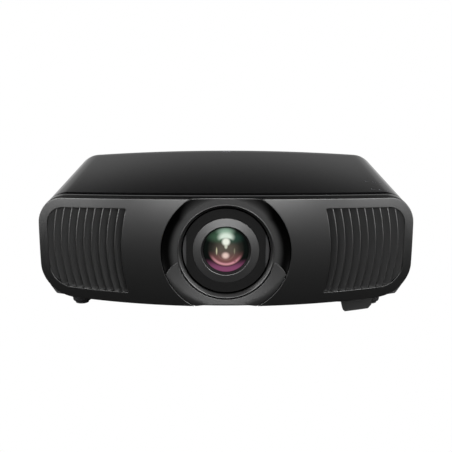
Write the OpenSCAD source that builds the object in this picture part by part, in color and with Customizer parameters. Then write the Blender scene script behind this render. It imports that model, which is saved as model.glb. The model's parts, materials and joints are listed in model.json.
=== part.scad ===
// Home cinema projector with a motorised lens, drawn in millimetres.
// +X is to the right seen from the front, the lens looks along -Y, +Z is up,
// and the origin lies on the table under the middle of the case.

/* [Case] */
// Width of the case
body_w = 520; // [430:1:630]
// Depth of the case, from the middle of the front to the back
body_d = 447; // [390:1:540]
// Height of the case above its feet, at the middle of the front lip
body_h = 166; // [160:1:200]
// Height of the case's floor above the table
foot_h = 24; // [20:1:30]
// Wall of the moulded cases
wall = 3; // [2.4:0.1:3.6]
// Height of the split between the base and the cover above the table
split_z = 100; // [90:1:110]
// Radius of the front's bow seen from above
bow_r = 590; // [480:1:710]
// Radius of the front's bulge seen from the side
bulge_r = 420; // [350:1:600]
// Radius of the crown across the top
crown_r = 3400; // [2800:10:4200]
// Radius of the rear edges
rear_r = 32; // [26:1:40]
// Slope of the top towards the back, in degrees
top_slope = 0.55; // [0.3:0.05:1]
// Radius of the upper long corners
corner_top_r = 38; // [32:1:45]
// Radius of the lower corners of the front
corner_low_r = 45; // [38:1:54]
// Height of the front panel's lower edge above the case's floor
chin_rise = 16; // [12:1:20]
// Depth of the front panel's return
bezel_return = 14; // [12:0.5:18]
// Width of the trim strip between the front lip and the cover
trim_strip = 16; // [13:0.5:19]

/* [Grilles] */
// Border of the front panel around a grille
grille_border = 14; // [12:0.5:17]
// Distance of a grille's inner edge from the middle
grille_inner_x = 141; // [125:1:150]
// Radius of the curved slats
slat_r = 230; // [190:1:280]
// Spacing of the slats
slat_pitch = 10.95; // [9.2:0.05:13]
// Thickness of a slat's front edge
slat_t = 2; // [1.6:0.1:2.4]
// Depth of a slat
slat_depth = 11; // [9:0.5:12]
// Slats in a grille
slat_count = 9; // [7:1:11]

/* [Lens opening] */
// Height of the lens axis above the table
lens_z = 116; // [110:1:120]
// Radius of the opening in the front panel
bowl_r = 87.5; // [78:0.5:95]
// Outer radius of the rim around the lens
rim_r = 65.3; // [62:0.1:70]
// Wall of that rim
rim_wall = 4.3; // [3.5:0.1:5]
// Depth of the bowl's floor behind the front's middle
bowl_depth = 13; // [11:0.1:13]

/* [Lens] */
// Outer radius of the lens's nose ring
nose_r = 45; // [38:0.1:48]
// Radius of the front glass
glass_r = 31; // [26:0.1:34]
// Travel of the lens to each side
shift_x = 7; // [5.6:0.1:8.4]
// Travel of the lens up and down
shift_z = 6; // [4.8:0.1:7.2]
// Wall of the barrel
barrel_wall = 3; // [2.5:0.1:4]
// Teeth on the zoom and focus rings
ring_teeth = 80; // [72:1:90]
// Teeth on the motor pinions
pinion_teeth = 14; // [12:1:18]
// Module of the gears
gear_m = 1.1; // [1:0.05:1.2]
// Lead screws of the lens shift, radius
screw_r = 3; // [2.5:0.1:3.6]

/* [Cooling] */
// Side of a fan's square frame
fan_w = 92; // [77:1:100]
// Depth of a fan
fan_d = 25; // [20:1:30]
// Blades on a rotor
fan_blades = 7; // [5:1:9]
// Width of the filter tray
tray_w = 76; // [64:1:80]
// Length of the filter tray
tray_l = 116; // [97:1:125]

/* [Feet] */
// Radius of a foot's disc
foot_r = 14.5; // [12:0.1:17]
// Distance of the feet from the sides of the case
foot_inset_x = 42; // [36:1:50]
// Distance of the front feet behind the middle of the front
foot_front = 146; // [130:1:160]
// Distance of the rear feet in front of the back
foot_back = 60; // [50:1:72]
// Radius of a front foot's threaded stud
stud_r = 4; // [3.3:0.1:4.8]
// Spacing of the ceiling mount holes across
mount_sx = 210; // [180:1:250]
// Spacing of the ceiling mount holes from front to back
mount_sy = 190; // [160:1:225]
// Radius of a ceiling mount hole
mount_r = 3.1; // [2.6:0.1:3.7]

/* [Controls] */
// Radius of a button
button_r = 3.6; // [3:0.1:4.3]
// Spacing of the arrow buttons from the enter button
key_pitch = 10; // [9.6:0.1:12]
// Travel of a button
button_travel = 1.2; // [1:0.1:1.5]

/* [Hidden] */
$fn = 96;
gap = 0.4;                                  // seam between mouldings
fit = 0.3;                                  // air between pieces that move past each other

charcoal = [0.17, 0.17, 0.175];
black = [0.05, 0.05, 0.055];
metal = [0.66, 0.67, 0.69];
brass = [0.72, 0.58, 0.3];
board_green = [0.06, 0.27, 0.16];
rubber = [0.08, 0.08, 0.08];
glass_tint = [0.55, 0.7, 0.65];

// Case, worked out
hw = body_w / 2;
y_front = -body_d / 2;
y_back = body_d / 2;
bow_y = y_front + bow_r;                    // centre of the front's bow
lip_z = foot_h + body_h;
face_z = foot_h + chin_rise;                // lower edge of the front panel
base_corner_r = corner_low_r + chin_rise;   // the base's corner meets the same side tangent
bulge_z = (lip_z + face_z) / 2 + 8;         // the furthest forward line of the front
seam_r = bow_r - bezel_return;              // where the front panel ends
strip_r = seam_r - trim_strip;              // where the trim strip ends

// Lens, worked out
run_fit = 0.05;                             // radial clearance of a shaft in its hole
barrel_r = glass_r + barrel_wall;
rim_y = y_front + bowl_depth - 1.5;                      // front of the rim
rim_inner = rim_r - rim_wall;
dish_t = 1.1;
chin_gap = 1.7;
dish_y = y_front + bowl_depth + dish_t;     // back of the bowl
mask_y = rim_y + 7.2;                    // front of the plate that moves with the lens
mask_t = 1.5;
shade_y = mask_y + mask_t + 0.5;            // front of the plate that moves sideways only
mask_r = lip_z - wall - 1 - shift_z - lens_z;
mask_flat = nose_r + 8.5;
nose_y = mask_y - 1.7;
nose_l = 11;
barrel_y0 = nose_y + 7;
zc_y = nose_y + nose_l + 2;                 // front of the carriage that moves up and down
carriage_t = 10;
xc_y = zc_y + carriage_t + 1;               // front of the carriage that moves sideways
lf_y = xc_y + carriage_t + 1;               // front of the fixed frame
frame_t = 8;
zc_w = barrel_r + 24;                       // half sizes of the carriages
zc_h = barrel_r + 16;
xc_w = zc_w + 4;
xc_h = zc_h + shift_z + 6;
lf_w = xc_w + shift_x + 9;
lug_t = 5.5;
guide_r = 3;
guide_x = zc_w - 6;
guide_z = xc_h - 8;
z_screw_x = barrel_r + 9;
x_screw_z = -(barrel_r + shift_z + 7);
shade_w = rim_inner + shift_x + 1.5;
shade_h = rim_inner + 1;
post_x = xc_w - 3;
post_r = 2.2;
ring_pitch_r = ring_teeth * gear_m / 2;
pinion_pitch_r = pinion_teeth * gear_m / 2;
gear_w = 10;
gear_rest = ring_pitch_r + pinion_pitch_r;  // distance between the gears' centres
pinion_a = -20;                             // where the pinions sit around the lens
zoom_y = lf_y + frame_t + 5;
focus_y = zoom_y + gear_w + 4;
bracket_y = focus_y + gear_w + 4;
bracket_t = 4;
shaft_r = 2;
motor_r = 8;
motor_l = 22;
z_motor_l = 13;
barrel_y1 = bracket_y + bracket_t + 16;
front_glass_y = nose_y + 7;
rear_group_y = bracket_y - 4;

// Inside, worked out
floor_z = foot_h + wall;
fan_x = hw - fan_w / 2 - 20;
fan_y = y_front + 98;
fan_z = lens_z - 12;
fan_hub_r = 18;
fan_blade_r = fan_w / 2 - 4;
fan_shaft_r = 2.5;
tray_z0 = foot_h - 7;
tray_x1 = hw - foot_inset_x - foot_r - 7;
tray_x0 = tray_x1 - tray_w;
grip_r = bow_r - 51;
grip_t = 10;
grip_x0 = tray_x0 + 45;
grip_x1 = hw - foot_inset_x - 6;
grip_z0 = 8;
tray_y0 = bow_y - sqrt(pow(grip_r - 7, 2) - pow(tray_x1, 2));
rail_t = 2.4;
board_t = 1.6;
optic_y0 = barrel_y1 + 10;
optic_l = 84;
optic_w = 66;
optic_z0 = lens_z - 48;
optic_z1 = lens_z + 42;
wheel_r = 28;
wheel_x = -(optic_w + wheel_r + 14);
wheel_y = optic_y0 + 30;
foot_x = hw - foot_inset_x;
foot_y = y_front + foot_front;
rear_foot_y = y_back - foot_back;
pad_t = 3;
disc_t = 14;
boss_r = stud_r + 4.5;
boss_h = 40;
thread_fit = 0.08;
mount_y = 10;
rear_top_z = lip_z - (body_d - rear_r) * tan(top_slope) - 0.3;
control_y = y_back - 100;
control_z = split_z - 22;
control_half_l = 46;
control_half_h = 16;
control_depth = 6;
control_t = 3;
panel_t = 3;
panel_y = y_back - panel_t - 1;              // front face of the rear panel
socket_z = floor_z + 36;
ramp_l = 44;                                // length of the ramp under the front panel
laser_y0 = optic_y0 + 36;
inlet_x = -(hw - 90);

// ---------- shared shapes ----------

function arc_points(cx, cz, r, a0, a1, n) =
    [for (i = [0 : n]) [cx + r * cos(a0 + (a1 - a0) * i / n), cz + r * sin(a0 + (a1 - a0) * i / n)]];

// Height of the crown's corner circle for a half width, top height and corner radius.
function corner_z(half, top, r, rc) = top - rc + sqrt(pow(rc - r, 2) - pow(half - r, 2));

// Outline of the case across its width, pulled in by inset on every side.
function outline_points(half, low, top, r_low, r_top, rc) =
    let (cz = corner_z(half, top, r_top, rc), turn = atan2(cz - (top - rc), half - r_top))
    concat(
        arc_points(half - r_low, low + r_low, r_low, -90, 0, 8),
        arc_points(half - r_top, cz, r_top, 0, turn, 8),
        arc_points(0, top - rc, rc, turn + (90 - turn) / 6, 180 - turn - (90 - turn) / 6, 10),
        arc_points(-half + r_top, cz, r_top, 180 - turn, 180, 8),
        arc_points(-half + r_low, low + r_low, r_low, 180, 270, 8));

module case_outline(inset, low, r_low) {
    polygon(outline_points(hw - inset, low + inset, lip_z - inset, r_low - inset,
        corner_top_r - inset, crown_r - inset));
}

// Stands a drawing of X and Z up and runs it from y0 to y1.
module run_y(y0, y1) {
    translate([0, y1, 0]) rotate([90, 0, 0]) linear_extrude(y1 - y0) children();
}

// The tilted prism that the front panel, the trim strip and the cover are cut from.
module upper_prism(inset) {
    translate([0, y_front, lip_z]) rotate([-top_slope, 0, 0]) translate([0, -y_front, -lip_z])
        run_y(y_front - 20, y_back + 20) case_outline(inset, face_z, corner_low_r);
}

module base_prism(inset, y1) {
    run_y(y_front - 20, y1) case_outline(inset, foot_h, base_corner_r);
}

// The case seen from the side, with its rear upper edge rounded.
module rear_profile(inset) {
    rotate([90, 0, 90]) translate([0, 0, -hw - 20]) linear_extrude(body_w + 40) polygon(concat(
        [[y_front - 60, -10], [y_back - inset, -10]],
        arc_points(y_back - rear_r, rear_top_z - rear_r, rear_r - inset, 0, 90, 8),
        [[y_back - rear_r, 260], [y_front - 60, 260]]));
}

// Everything within a radius of the bow's centre.
module bow_cylinder(r, z0 = -10, z1 = 260) {
    translate([0, bow_y, z0]) cylinder(r = r, h = z1 - z0, $fn = 180);
}

// The front's own skin: bowed seen from above and bulged seen from the side.
module bow_skin(inset) {
    translate([0, bow_y, 0]) rotate_extrude($fn = 180) intersection() {
        translate([bow_r - bulge_r, bulge_z]) circle(r = bulge_r - inset, $fn = 180);
        translate([0, 0]) square([bow_r + 10, 260]);
    }
}

// The case seen from above, with its rear corners rounded. An open end at y_end keeps them whole.
module case_plan(inset, y_end) {
    // the arc is entered along a chord that crosses the side, never along the side itself
    c = hw - rear_r;
    cy = y_back - rear_r;
    translate([0, 0, -10]) linear_extrude(280) polygon(concat(
        [[-hw - 10, y_front - 30], [hw + 10, y_front - 30], [hw + 10, cy - 6], [hw - inset + 0.5, cy - 5.6]],
        arc_points(c, cy, rear_r - inset, 10, 80, 7),
        [[c, max(y_end, y_back - inset)], [-c, max(y_end, y_back - inset)]],
        arc_points(-c, cy, rear_r - inset, 100, 170, 7),
        [[-hw + inset - 0.5, cy - 5.6], [-hw - 10, cy - 6]]));
}

module plate_box(x0, x1, y0, y1, z0, z1) {
    translate([x0, y0, z0]) cube([x1 - x0, y1 - y0, z1 - z0]);
}

// A cylinder along Y from y0 to y1.
module rod_y(r, y0, y1, x = 0, z = 0) {
    translate([x, y1, z]) rotate([90, 0, 0]) cylinder(r = r, h = y1 - y0);
}

module tube_y(r_out, r_in, y0, y1, x = 0, z = 0) {
    difference() {
        rod_y(r_out, y0, y1, x, z);
        rod_y(r_in, y0 - 1, y1 + 1, x, z);
    }
}

// Spur gear drawn flat, with thin teeth so that a pair always has backlash.
module gear_2d(teeth) {
    pitch_r = teeth * gear_m / 2;
    root = pitch_r - 1.2 * gear_m;
    tip = pitch_r + 0.8 * gear_m;
    polygon([for (i = [0 : teeth - 1]) each let (a = 360 * i / teeth, w = 360 / teeth) [
        [root * cos(a - 0.3 * w), root * sin(a - 0.3 * w)],
        [tip * cos(a - 0.11 * w), tip * sin(a - 0.11 * w)],
        [tip * cos(a + 0.11 * w), tip * sin(a + 0.11 * w)],
        [root * cos(a + 0.3 * w), root * sin(a + 0.3 * w)]]]);
}

module gear_y(teeth, y0, width, x, z, turn = 0) {
    translate([x, y0 + width, z]) rotate([90, 0, 0]) linear_extrude(width) rotate(turn) gear_2d(teeth);
}

module both_sides() {
    children();
    mirror([1, 0, 0]) children();
}

// ---------- case ----------

module foot_boss(x, y) {
    translate([x, y, foot_h]) cylinder(r = boss_r, h = boss_h);
}

module mount_positions() {
    for (sx = [-1, 1], sy = [-1, 1]) translate([sx * mount_sx / 2, mount_y + sy * mount_sy / 2, 0]) children();
}

screw_x = hw - base_corner_r - 5;
function screw_spots() = [[-screw_x, foot_y], [screw_x, foot_y],
    [-screw_x, y_back - 22], [screw_x, y_back - 22]];

module case_screw_spots() {
    for (s = screw_spots()) translate([s[0], s[1], 0]) children();
}

module base_ramp_limit() {
    // Below the front panel the floor ramps up towards the panel's lower edge.
    translate([0, bow_y, 0]) rotate_extrude($fn = 180) polygon([[0, foot_h], [seam_r - gap - ramp_l, foot_h],
        [seam_r - gap, face_z], [seam_r - gap, split_z - gap / 2], [0, split_z - gap / 2]]);
}

// The room inside the base, open to the front and the back.
module base_cavity() {
    intersection() {
        base_prism(wall, y_back + 5);
        translate([0, bow_y, 0]) rotate_extrude($fn = 180) polygon([[0, floor_z], [seam_r - gap - ramp_l - 1, floor_z],
            [seam_r + 5, face_z + wall + 2], [seam_r + 5, split_z + 10], [0, split_z + 10]]);
        case_plan(wall, y_back + 5);
    }
}

module base_tray() {
    color(charcoal) difference() {
        union() {
            difference() {
                intersection() {
                    base_prism(0, y_back);
                    base_ramp_limit();
                    case_plan(0, y_back);
                }
                base_cavity();
            }
            for (x = [-foot_x, foot_x]) foot_boss(x, foot_y);
            mount_positions() translate([0, 0, foot_h]) cylinder(r = mount_r + 3.5, h = 16);
            case_screw_spots() translate([0, 0, foot_h + 12]) cylinder(r = 5, h = split_z - foot_h - 14);
        }
        for (x = [-foot_x, foot_x]) translate([x, foot_y, foot_h - 1]) cylinder(r = stud_r + thread_fit, h = boss_h + 2);
        mount_positions() translate([0, 0, foot_h - 1]) cylinder(r = mount_r, h = 13);
        case_screw_spots() translate([0, 0, foot_h - 1]) cylinder(r = 1.8, h = split_z);
        case_screw_spots() translate([0, 0, foot_h - 1]) cylinder(r = 4, h = 19);
        for (x = [-foot_x, foot_x]) translate([x, rear_foot_y, foot_h - 1]) cylinder(r = 3, h = wall + 2);
        // intake bars over the filter tray
        for (i = [0 : 6])
            plate_box(tray_x0 + 8, tray_x1 - 8, tray_y0 + 12 + 14 * i, tray_y0 + 21 + 14 * i, foot_h - 1, foot_h + wall + 1);
        control_window(0);
    }
    // rails that the filter tray slides in
    color(charcoal) for (side = [0, 1]) {
        rail_x = side == 0 ? tray_x0 - fit - rail_t : tray_x1 + fit;
        lip_x = side == 0 ? tray_x0 - fit - rail_t : tray_x1 - rail_t;
        translate([rail_x, tray_y0 + 16, tray_z0 - fit - rail_t])
            cube([rail_t, tray_l - 16, foot_h - tray_z0 + fit + rail_t]);
        translate([lip_x, tray_y0 + 16, tray_z0 - fit - rail_t])
            cube([2 * rail_t + fit, tray_l - 16, rail_t]);
    }
}

module top_cover() {
    color(black) difference() {
        intersection() {
            difference() {
                intersection() {
                    upper_prism(0);
                    rear_profile(0);
                    case_plan(0, y_back);
                }
                intersection() {
                    upper_prism(wall);
                    rear_profile(wall);
                    case_plan(wall, y_back - wall);
                }
            }
            bow_cylinder(strip_r - gap);
            plate_box(-hw - 1, hw + 1, y_front, y_back + 1, split_z + gap / 2, lip_z + 20);
        }
        status_slots(fit / 2);
        remote_window_at(fit / 2);
    }
    // posts that take the case screws
    color(black) intersection() {
        case_screw_spots() translate([0, 0, split_z + gap / 2]) difference() {
            cylinder(r = 5, h = 90);
            translate([0, 0, -1]) cylinder(r = 1.5, h = 16);
        }
        upper_prism(wall / 2);
        rear_profile(wall / 2);
    }
}

module top_front_trim() {
    color(black) intersection() {
        difference() {
            upper_prism(0);
            upper_prism(wall);
        }
        difference() {
            bow_cylinder(seam_r - gap);
            bow_cylinder(strip_r);
        }
        plate_box(-hw - 1, hw + 1, y_front, y_back, split_z + gap / 2, lip_z + 20);
    }
}

// The opening for a grille, as a drawing of X and Z, on the right side.
module grille_window(inset) {
    intersection() {
        polygon(outline_points(hw - grille_border + 1 - inset, face_z + grille_border + 1 + inset,
            lip_z - grille_border - inset, corner_low_r - grille_border - inset,
            corner_top_r - grille_border - inset, crown_r - grille_border));
        difference() {
            translate([0, face_z]) square([hw, body_h]);
            translate([grille_inner_x - slat_r, 116]) circle(r = slat_r + inset, $fn = 180);
        }
    }
}

module front_bezel() {
    color(charcoal) difference() {
        intersection() {
            upper_prism(0);
            bow_skin(0);
            difference() {
                bow_cylinder(bow_r + 5);
                bow_cylinder(seam_r);
            }
        }
        intersection() {
            upper_prism(wall);
            bow_skin(wall);
        }
        both_sides() run_y(y_front - 5, y_front + 120) grille_window(0);
        rod_y(bowl_r + gap, y_front - 5, y_front + 60, 0, lens_z);
    }
}

// Slats seen from the front: width and offset of each band, clipped to the window.
module slat_bands(width, offset_x, first, last) {
    intersection() {
        grille_window(0.5);
        union() for (k = [first : last]) {
            cx = grille_inner_x + 9 + slat_pitch * k + offset_x - slat_r;
            difference() {
                translate([cx, 116]) circle(r = slat_r + width / 2, $fn = 180);
                translate([cx, 116]) circle(r = slat_r - width / 2, $fn = 180);
            }
        }
    }
}

module grille_right() {
    back_r = bow_r - slat_depth - 4;
    // front edges of the slats
    intersection() {
        run_y(y_front, y_front + 120) slat_bands(slat_t, 0, 0, slat_count - 1);
        bow_skin(2.5);
        difference() {
            bow_cylinder(bow_r);
            bow_cylinder(back_r - 1.6);
        }
    }
    // flanges that hide the inside and leave a slot beside each slat
    intersection() {
        run_y(y_front, y_front + 120) slat_bands(slat_pitch - 3.2, slat_pitch / 2 - 0.6, -1, slat_count - 1);
        difference() {
            bow_cylinder(back_r);
            bow_cylinder(back_r - 1.6);
        }
    }
    // rim that joins them
    intersection() {
        run_y(y_front, y_front + 120) difference() {
            grille_window(0.3);
            grille_window(2.3);
        }
        bow_skin(4);
        difference() {
            bow_cylinder(bow_r);
            bow_cylinder(back_r - 1.6);
        }
    }
}

module left_grille() { color(black) mirror([1, 0, 0]) grille_right(); }
module right_grille() { color(black) grille_right(); }

// ---------- lens opening ----------

// The bowl turned about the lens axis: a flat floor that curves forward to its outer edge.
module bowl_body() {
    lip_t = 0.8;
    floor_r = rim_r + 7;
    rise = 8;
    floor_y = y_front + bowl_depth;
    translate([0, 0, lens_z]) rotate([90, 0, 0]) rotate_extrude($fn = 180) polygon(concat(
        [[rim_r, -dish_y], [rim_r, -floor_y]],
        [for (i = [0 : 8]) let (a = 90 * i / 8)
            [floor_r + (bowl_r - lip_t - floor_r) * sin(a), -floor_y + rise * (1 - cos(a))]],
        [[bowl_r - lip_t, -y_front + 1], [bowl_r, -y_front + 1], [bowl_r, -dish_y]]));
}

module chin_wedge() {
    // the part of the ring that the chin fills, seen from the front
    polygon([[0, lens_z], [60, lens_z - 9.6], [92, lens_z - 40.4], [92, face_z - 20],
        [-92, face_z - 20], [-92, lens_z - 40.4], [-60, lens_z - 9.6]]);
}

module lens_bowl() {
    color(black) difference() {
        intersection() {
            bowl_body();
            bow_skin(0.4);
            upper_prism(0.2);
        }
        run_y(y_front - 5, y_front + 60) offset(delta = gap) chin_wedge();
    }
}

// The chin faces a little upwards, because it leans back towards the rim.
module lens_chin() {
    lean = 0.17;
    edge_y = y_front + 7.2;
    color(charcoal) intersection() {
        run_y(y_front - 5, y_front + 60) intersection() {
            chin_wedge();
            translate([-100, face_z + 0.5]) square([200, 150]);
        }
        translate([0, 0, lens_z]) rotate([90, 0, 0]) rotate_extrude($fn = 180) polygon([
            [rim_r + chin_gap, -dish_y], [rim_r + chin_gap, -edge_y - lean * (bowl_r - rim_r - chin_gap)],
            [bowl_r, -edge_y], [bowl_r, -dish_y]]);
        bow_skin(0.3);
    }
}

module lens_rim() {
    color(charcoal) translate([0, 0, lens_z]) rotate([90, 0, 0]) rotate_extrude($fn = 180) polygon([
        [rim_r - 0.5, -rim_y], [rim_r, -rim_y - 0.5], [rim_r, -mask_y + 0.5], [rim_inner, -mask_y + 0.5],
        [rim_inner, -rim_y - 5.5], [rim_r - 1.2, -rim_y]]);
}

// ---------- small openings in the case ----------

module status_spots() {
    for (row = [0, 1], i = [0 : 2]) translate([hw - 51 + 11 * i, y_front + 103 + 60 * row, 0]) children();
}

module status_slots(grow) {
    status_spots() translate([0, 0, split_z + 20]) cylinder(r = 1.5 + grow, h = 120);
}

module remote_window_at(grow) {
    plate_box(-8 - grow, 8 + grow, y_back - 48 - grow, y_back - 42 + grow, split_z + 20, lip_z + 30);
}

module status_lights() {
    color([0.75, 0.8, 0.85]) intersection() {
        status_slots(0);
        difference() {
            upper_prism(0.2);
            upper_prism(wall + 2);
        }
    }
    // light board under the cover
    color(board_green) difference() {
        intersection() {
            plate_box(hw - 60, hw - 22, y_front + 96, y_front + 170, split_z + 20, lip_z);
            upper_prism(wall);
        }
        upper_prism(wall + 4);
        status_slots(0);
    }
}

module remote_window() {
    color(black) intersection() {
        remote_window_at(0);
        difference() {
            upper_prism(0.2);
            upper_prism(wall + 3);
        }
    }
    color(board_green) difference() {
        intersection() {
            plate_box(-16, 16, y_back - 56, y_back - 36, split_z + 20, lip_z);
            upper_prism(wall);
        }
        upper_prism(wall + 4);
        remote_window_at(0);
    }
}

module control_window(grow) {
    plate_box(-hw - 5, -hw + 20, control_y - control_half_l - grow, control_y + control_half_l + grow,
        control_z - control_half_h - grow, control_z + control_half_h + grow);
}

// Button positions along Y and Z, seen from the side.
function key_spot(k) = k == "power" ? [34, 0] : k == "menu" ? [20, 0] : k == "escape" ? [-34, 0]
    : k == "enter" ? [-8, 0] : k == "up" ? [-8, key_pitch] : k == "down" ? [-8, -key_pitch]
    : k == "left" ? [-8 + key_pitch, 0] : [-8 - key_pitch, 0];
KEYS = ["power", "menu", "escape", "enter", "up", "down", "left", "right"];

module key_rod(k, r, x0, x1) {
    translate([x0, control_y + key_spot(k)[0], control_z + key_spot(k)[1]]) rotate([0, 90, 0]) cylinder(r = r, h = x1 - x0);
}

control_x = -hw + control_depth;            // outer face of the control plate

module control_plate() {
    color(black) difference() {
        union() {
            plate_box(control_x, control_x + control_t, control_y - control_half_l,
                control_y + control_half_l, control_z - control_half_h, control_z + control_half_h);
            intersection() {
                difference() {
                    plate_box(-hw, control_x + control_t, control_y - control_half_l - 4,
                        control_y + control_half_l + 4, control_z - control_half_h - 4, control_z + control_half_h + 4);
                    plate_box(-hw - 1, control_x, control_y - control_half_l, control_y + control_half_l,
                        control_z - control_half_h, control_z + control_half_h);
                }
                base_cavity();
            }
        }
        for (k = KEYS) key_rod(k, button_r + fit, -hw - 5, -hw + 20);
    }
    // board that carries the switches
    color(board_green) translate([control_x + control_t + 5, control_y - control_half_l - 4, control_z - control_half_h - 4])
        cube([board_t, 2 * control_half_l + 8, 2 * control_half_h + 8]);
    color(black) for (sy = [-1, 1], sz = [-1, 1]) translate([control_x + control_t, control_y + sy * (control_half_l - 2),
        control_z + sz * (control_half_h - 2)]) rotate([0, 90, 0]) cylinder(r = 2.5, h = 5);
}

module key(k) {
    color(charcoal) {
        key_rod(k, button_r, control_x - button_travel - 0.6, control_x + control_t + 0.6);
        key_rod(k, button_r + 1.2, control_x + control_t + 0.6 - 0.2, control_x + control_t + 1.8);
    }
}

module power_button() { key("power"); }
module menu_button() { key("menu"); }
module escape_button() { key("escape"); }
module enter_button() { key("enter"); }
module up_button() { key("up"); }
module down_button() { key("down"); }
module left_button() { key("left"); }
module right_button() { key("right"); }

// ---------- rear panel ----------

hdmi_w = 15.2;
hdmi_h = 5.7;
usb_w = 13.2;
usb_h = 5.8;
data_w = 16;
data_h = 13.5;

module socket_cut(x, w, h, z) {
    plate_box(x - w / 2, x + w / 2, panel_y - 5, y_back + 5, z - h / 2, z + h / 2);
}

module socket_body(x, w, h, z, length, tongue) {
    difference() {
        plate_box(x - w / 2, x + w / 2, panel_y - length, panel_y + panel_t, z - h / 2, z + h / 2);
        plate_box(x - w / 2 + 0.8, x + w / 2 - 0.8, panel_y - length + 2, y_back + 5, z - h / 2 + 0.8, z + h / 2 - 0.8);
    }
    if (tongue) plate_box(x - w / 2 + 3, x + w / 2 - 3, panel_y - length + 1, panel_y + 1, z - 0.7, z + 0.7);
}

hdmi_x = [-60, -32];
usb_x = [0, 24];
data_x = [52, 80];

module hdmi_sockets() { color(metal) for (x = hdmi_x) socket_body(x, hdmi_w, hdmi_h, socket_z, 14, true); }
module usb_sockets() { color(metal) for (x = usb_x) socket_body(x, usb_w, usb_h, socket_z, 14, true); }
module data_sockets() {
    color(metal) for (x = data_x) socket_body(x, data_w, data_h, socket_z, 18, false);
    // trigger socket, round
    color(black) difference() {
        rod_y(4, panel_y - 14, panel_y + panel_t, 106, socket_z);
        rod_y(1.8, panel_y - 12, y_back + 5, 106, socket_z);
    }
}

inlet_w = 27;
inlet_h = 20;
module power_inlet() {
    color(black) difference() {
        plate_box(inlet_x - inlet_w / 2, inlet_x + inlet_w / 2, panel_y - 24, panel_y + panel_t,
            socket_z - inlet_h / 2, socket_z + inlet_h / 2);
        plate_box(inlet_x - inlet_w / 2 + 1.5, inlet_x + inlet_w / 2 - 1.5, panel_y - 18, y_back + 5,
            socket_z - inlet_h / 2 + 1.5, socket_z + inlet_h / 2 - 1.5);
    }
    color(metal) for (i = [-1 : 1]) plate_box(inlet_x + 7 * i - 1, inlet_x + 7 * i + 1, panel_y - 20, panel_y - 8,
        socket_z - 2 + (i == 0 ? 4 : 0), socket_z + 2 + (i == 0 ? 4 : 0));
}

module rear_panel() {
    color(black) difference() {
        intersection() {
            base_cavity();
            plate_box(-hw, hw, panel_y, panel_y + panel_t, floor_z, split_z - gap);
        }
        for (x = hdmi_x) socket_cut(x, hdmi_w, hdmi_h, socket_z);
        for (x = usb_x) socket_cut(x, usb_w, usb_h, socket_z);
        for (x = data_x) socket_cut(x, data_w, data_h, socket_z);
        rod_y(4, panel_y - 5, y_back + 5, 106, socket_z);
        socket_cut(inlet_x, inlet_w, inlet_h, socket_z);
        // vents beside the sockets
        for (i = [0 : 7]) plate_box(hw - 122 + 9 * i, hw - 118 + 9 * i, panel_y - 1, y_back + 1, socket_z - 16, socket_z + 16);
    }
}

// ---------- electronics and light source ----------

module main_board() {
    board_z = socket_z - data_h / 2 - 2 - board_t;
    color(board_green) plate_box(-96, 128, panel_y - 118, panel_y - 1, board_z, board_z + board_t);
    color(metal) {
        plate_box(-20, 20, panel_y - 90, panel_y - 50, board_z + board_t, board_z + board_t + 6);
        for (i = [0 : 3]) plate_box(40 + 18 * i, 50 + 18 * i, panel_y - 96, panel_y - 40, board_z + board_t, board_z + board_t + 3);
    }
    // stand-offs down to the floor
    color(metal) for (x = [-88, 120], y = [panel_y - 110, panel_y - 12]) translate([x, y, floor_z]) cylinder(r = 3, h = board_z - floor_z);
}

module power_supply() {
    x0 = hw - 138;
    color(board_green) plate_box(x0, x0 + 80, foot_y + 24, foot_y + 176, floor_z + 8, floor_z + 8 + board_t);
    color(metal) for (x = [x0 + 6, x0 + 74], y = [foot_y + 30, foot_y + 170]) translate([x, y, floor_z]) cylinder(r = 3, h = 8);
    color(black) {
        plate_box(x0 + 10, x0 + 42, foot_y + 34, foot_y + 66, floor_z + 8 + board_t, floor_z + 44);
        plate_box(x0 + 10, x0 + 34, foot_y + 80, foot_y + 104, floor_z + 8 + board_t, floor_z + 36);
    }
    color(brass) for (i = [0 : 2]) translate([x0 + 60, foot_y + 48 + 24 * i, floor_z + 8 + board_t]) cylinder(r = 9, h = 34);
    color(metal) plate_box(x0 + 12, x0 + 66, foot_y + 124, foot_y + 128, floor_z + 8 + board_t, floor_z + 52);
}

module laser_bank() {
    // two rows of laser packages on a copper block
    x0 = -(optic_w + 96);
    color(brass) plate_box(x0, x0 + 20, laser_y0, laser_y0 + 76, optic_z0, optic_z1);
    color(metal) for (i = [0 : 3], j = [0 : 3])
        translate([x0 + 20, laser_y0 + 11 + 18 * i, optic_z0 + 14 + 20 * j]) rotate([0, 90, 0]) cylinder(r = 5, h = 6);
    color(metal) plate_box(x0, x0 + 20, laser_y0 + 8, laser_y0 + 68, floor_z, optic_z0);
}

module heat_sink() {
    x1 = -(optic_w + 96);
    color(metal) {
        plate_box(x1 - 6, x1, laser_y0 - 4, laser_y0 + 80, optic_z0 - 6, optic_z1 + 4);
        for (i = [0 : 11]) plate_box(x1 - 46, x1 - 6, laser_y0 - 4 + 7.4 * i, laser_y0 - 2.5 + 7.4 * i, optic_z0 - 6, optic_z1 + 4);
    }
}

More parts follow.
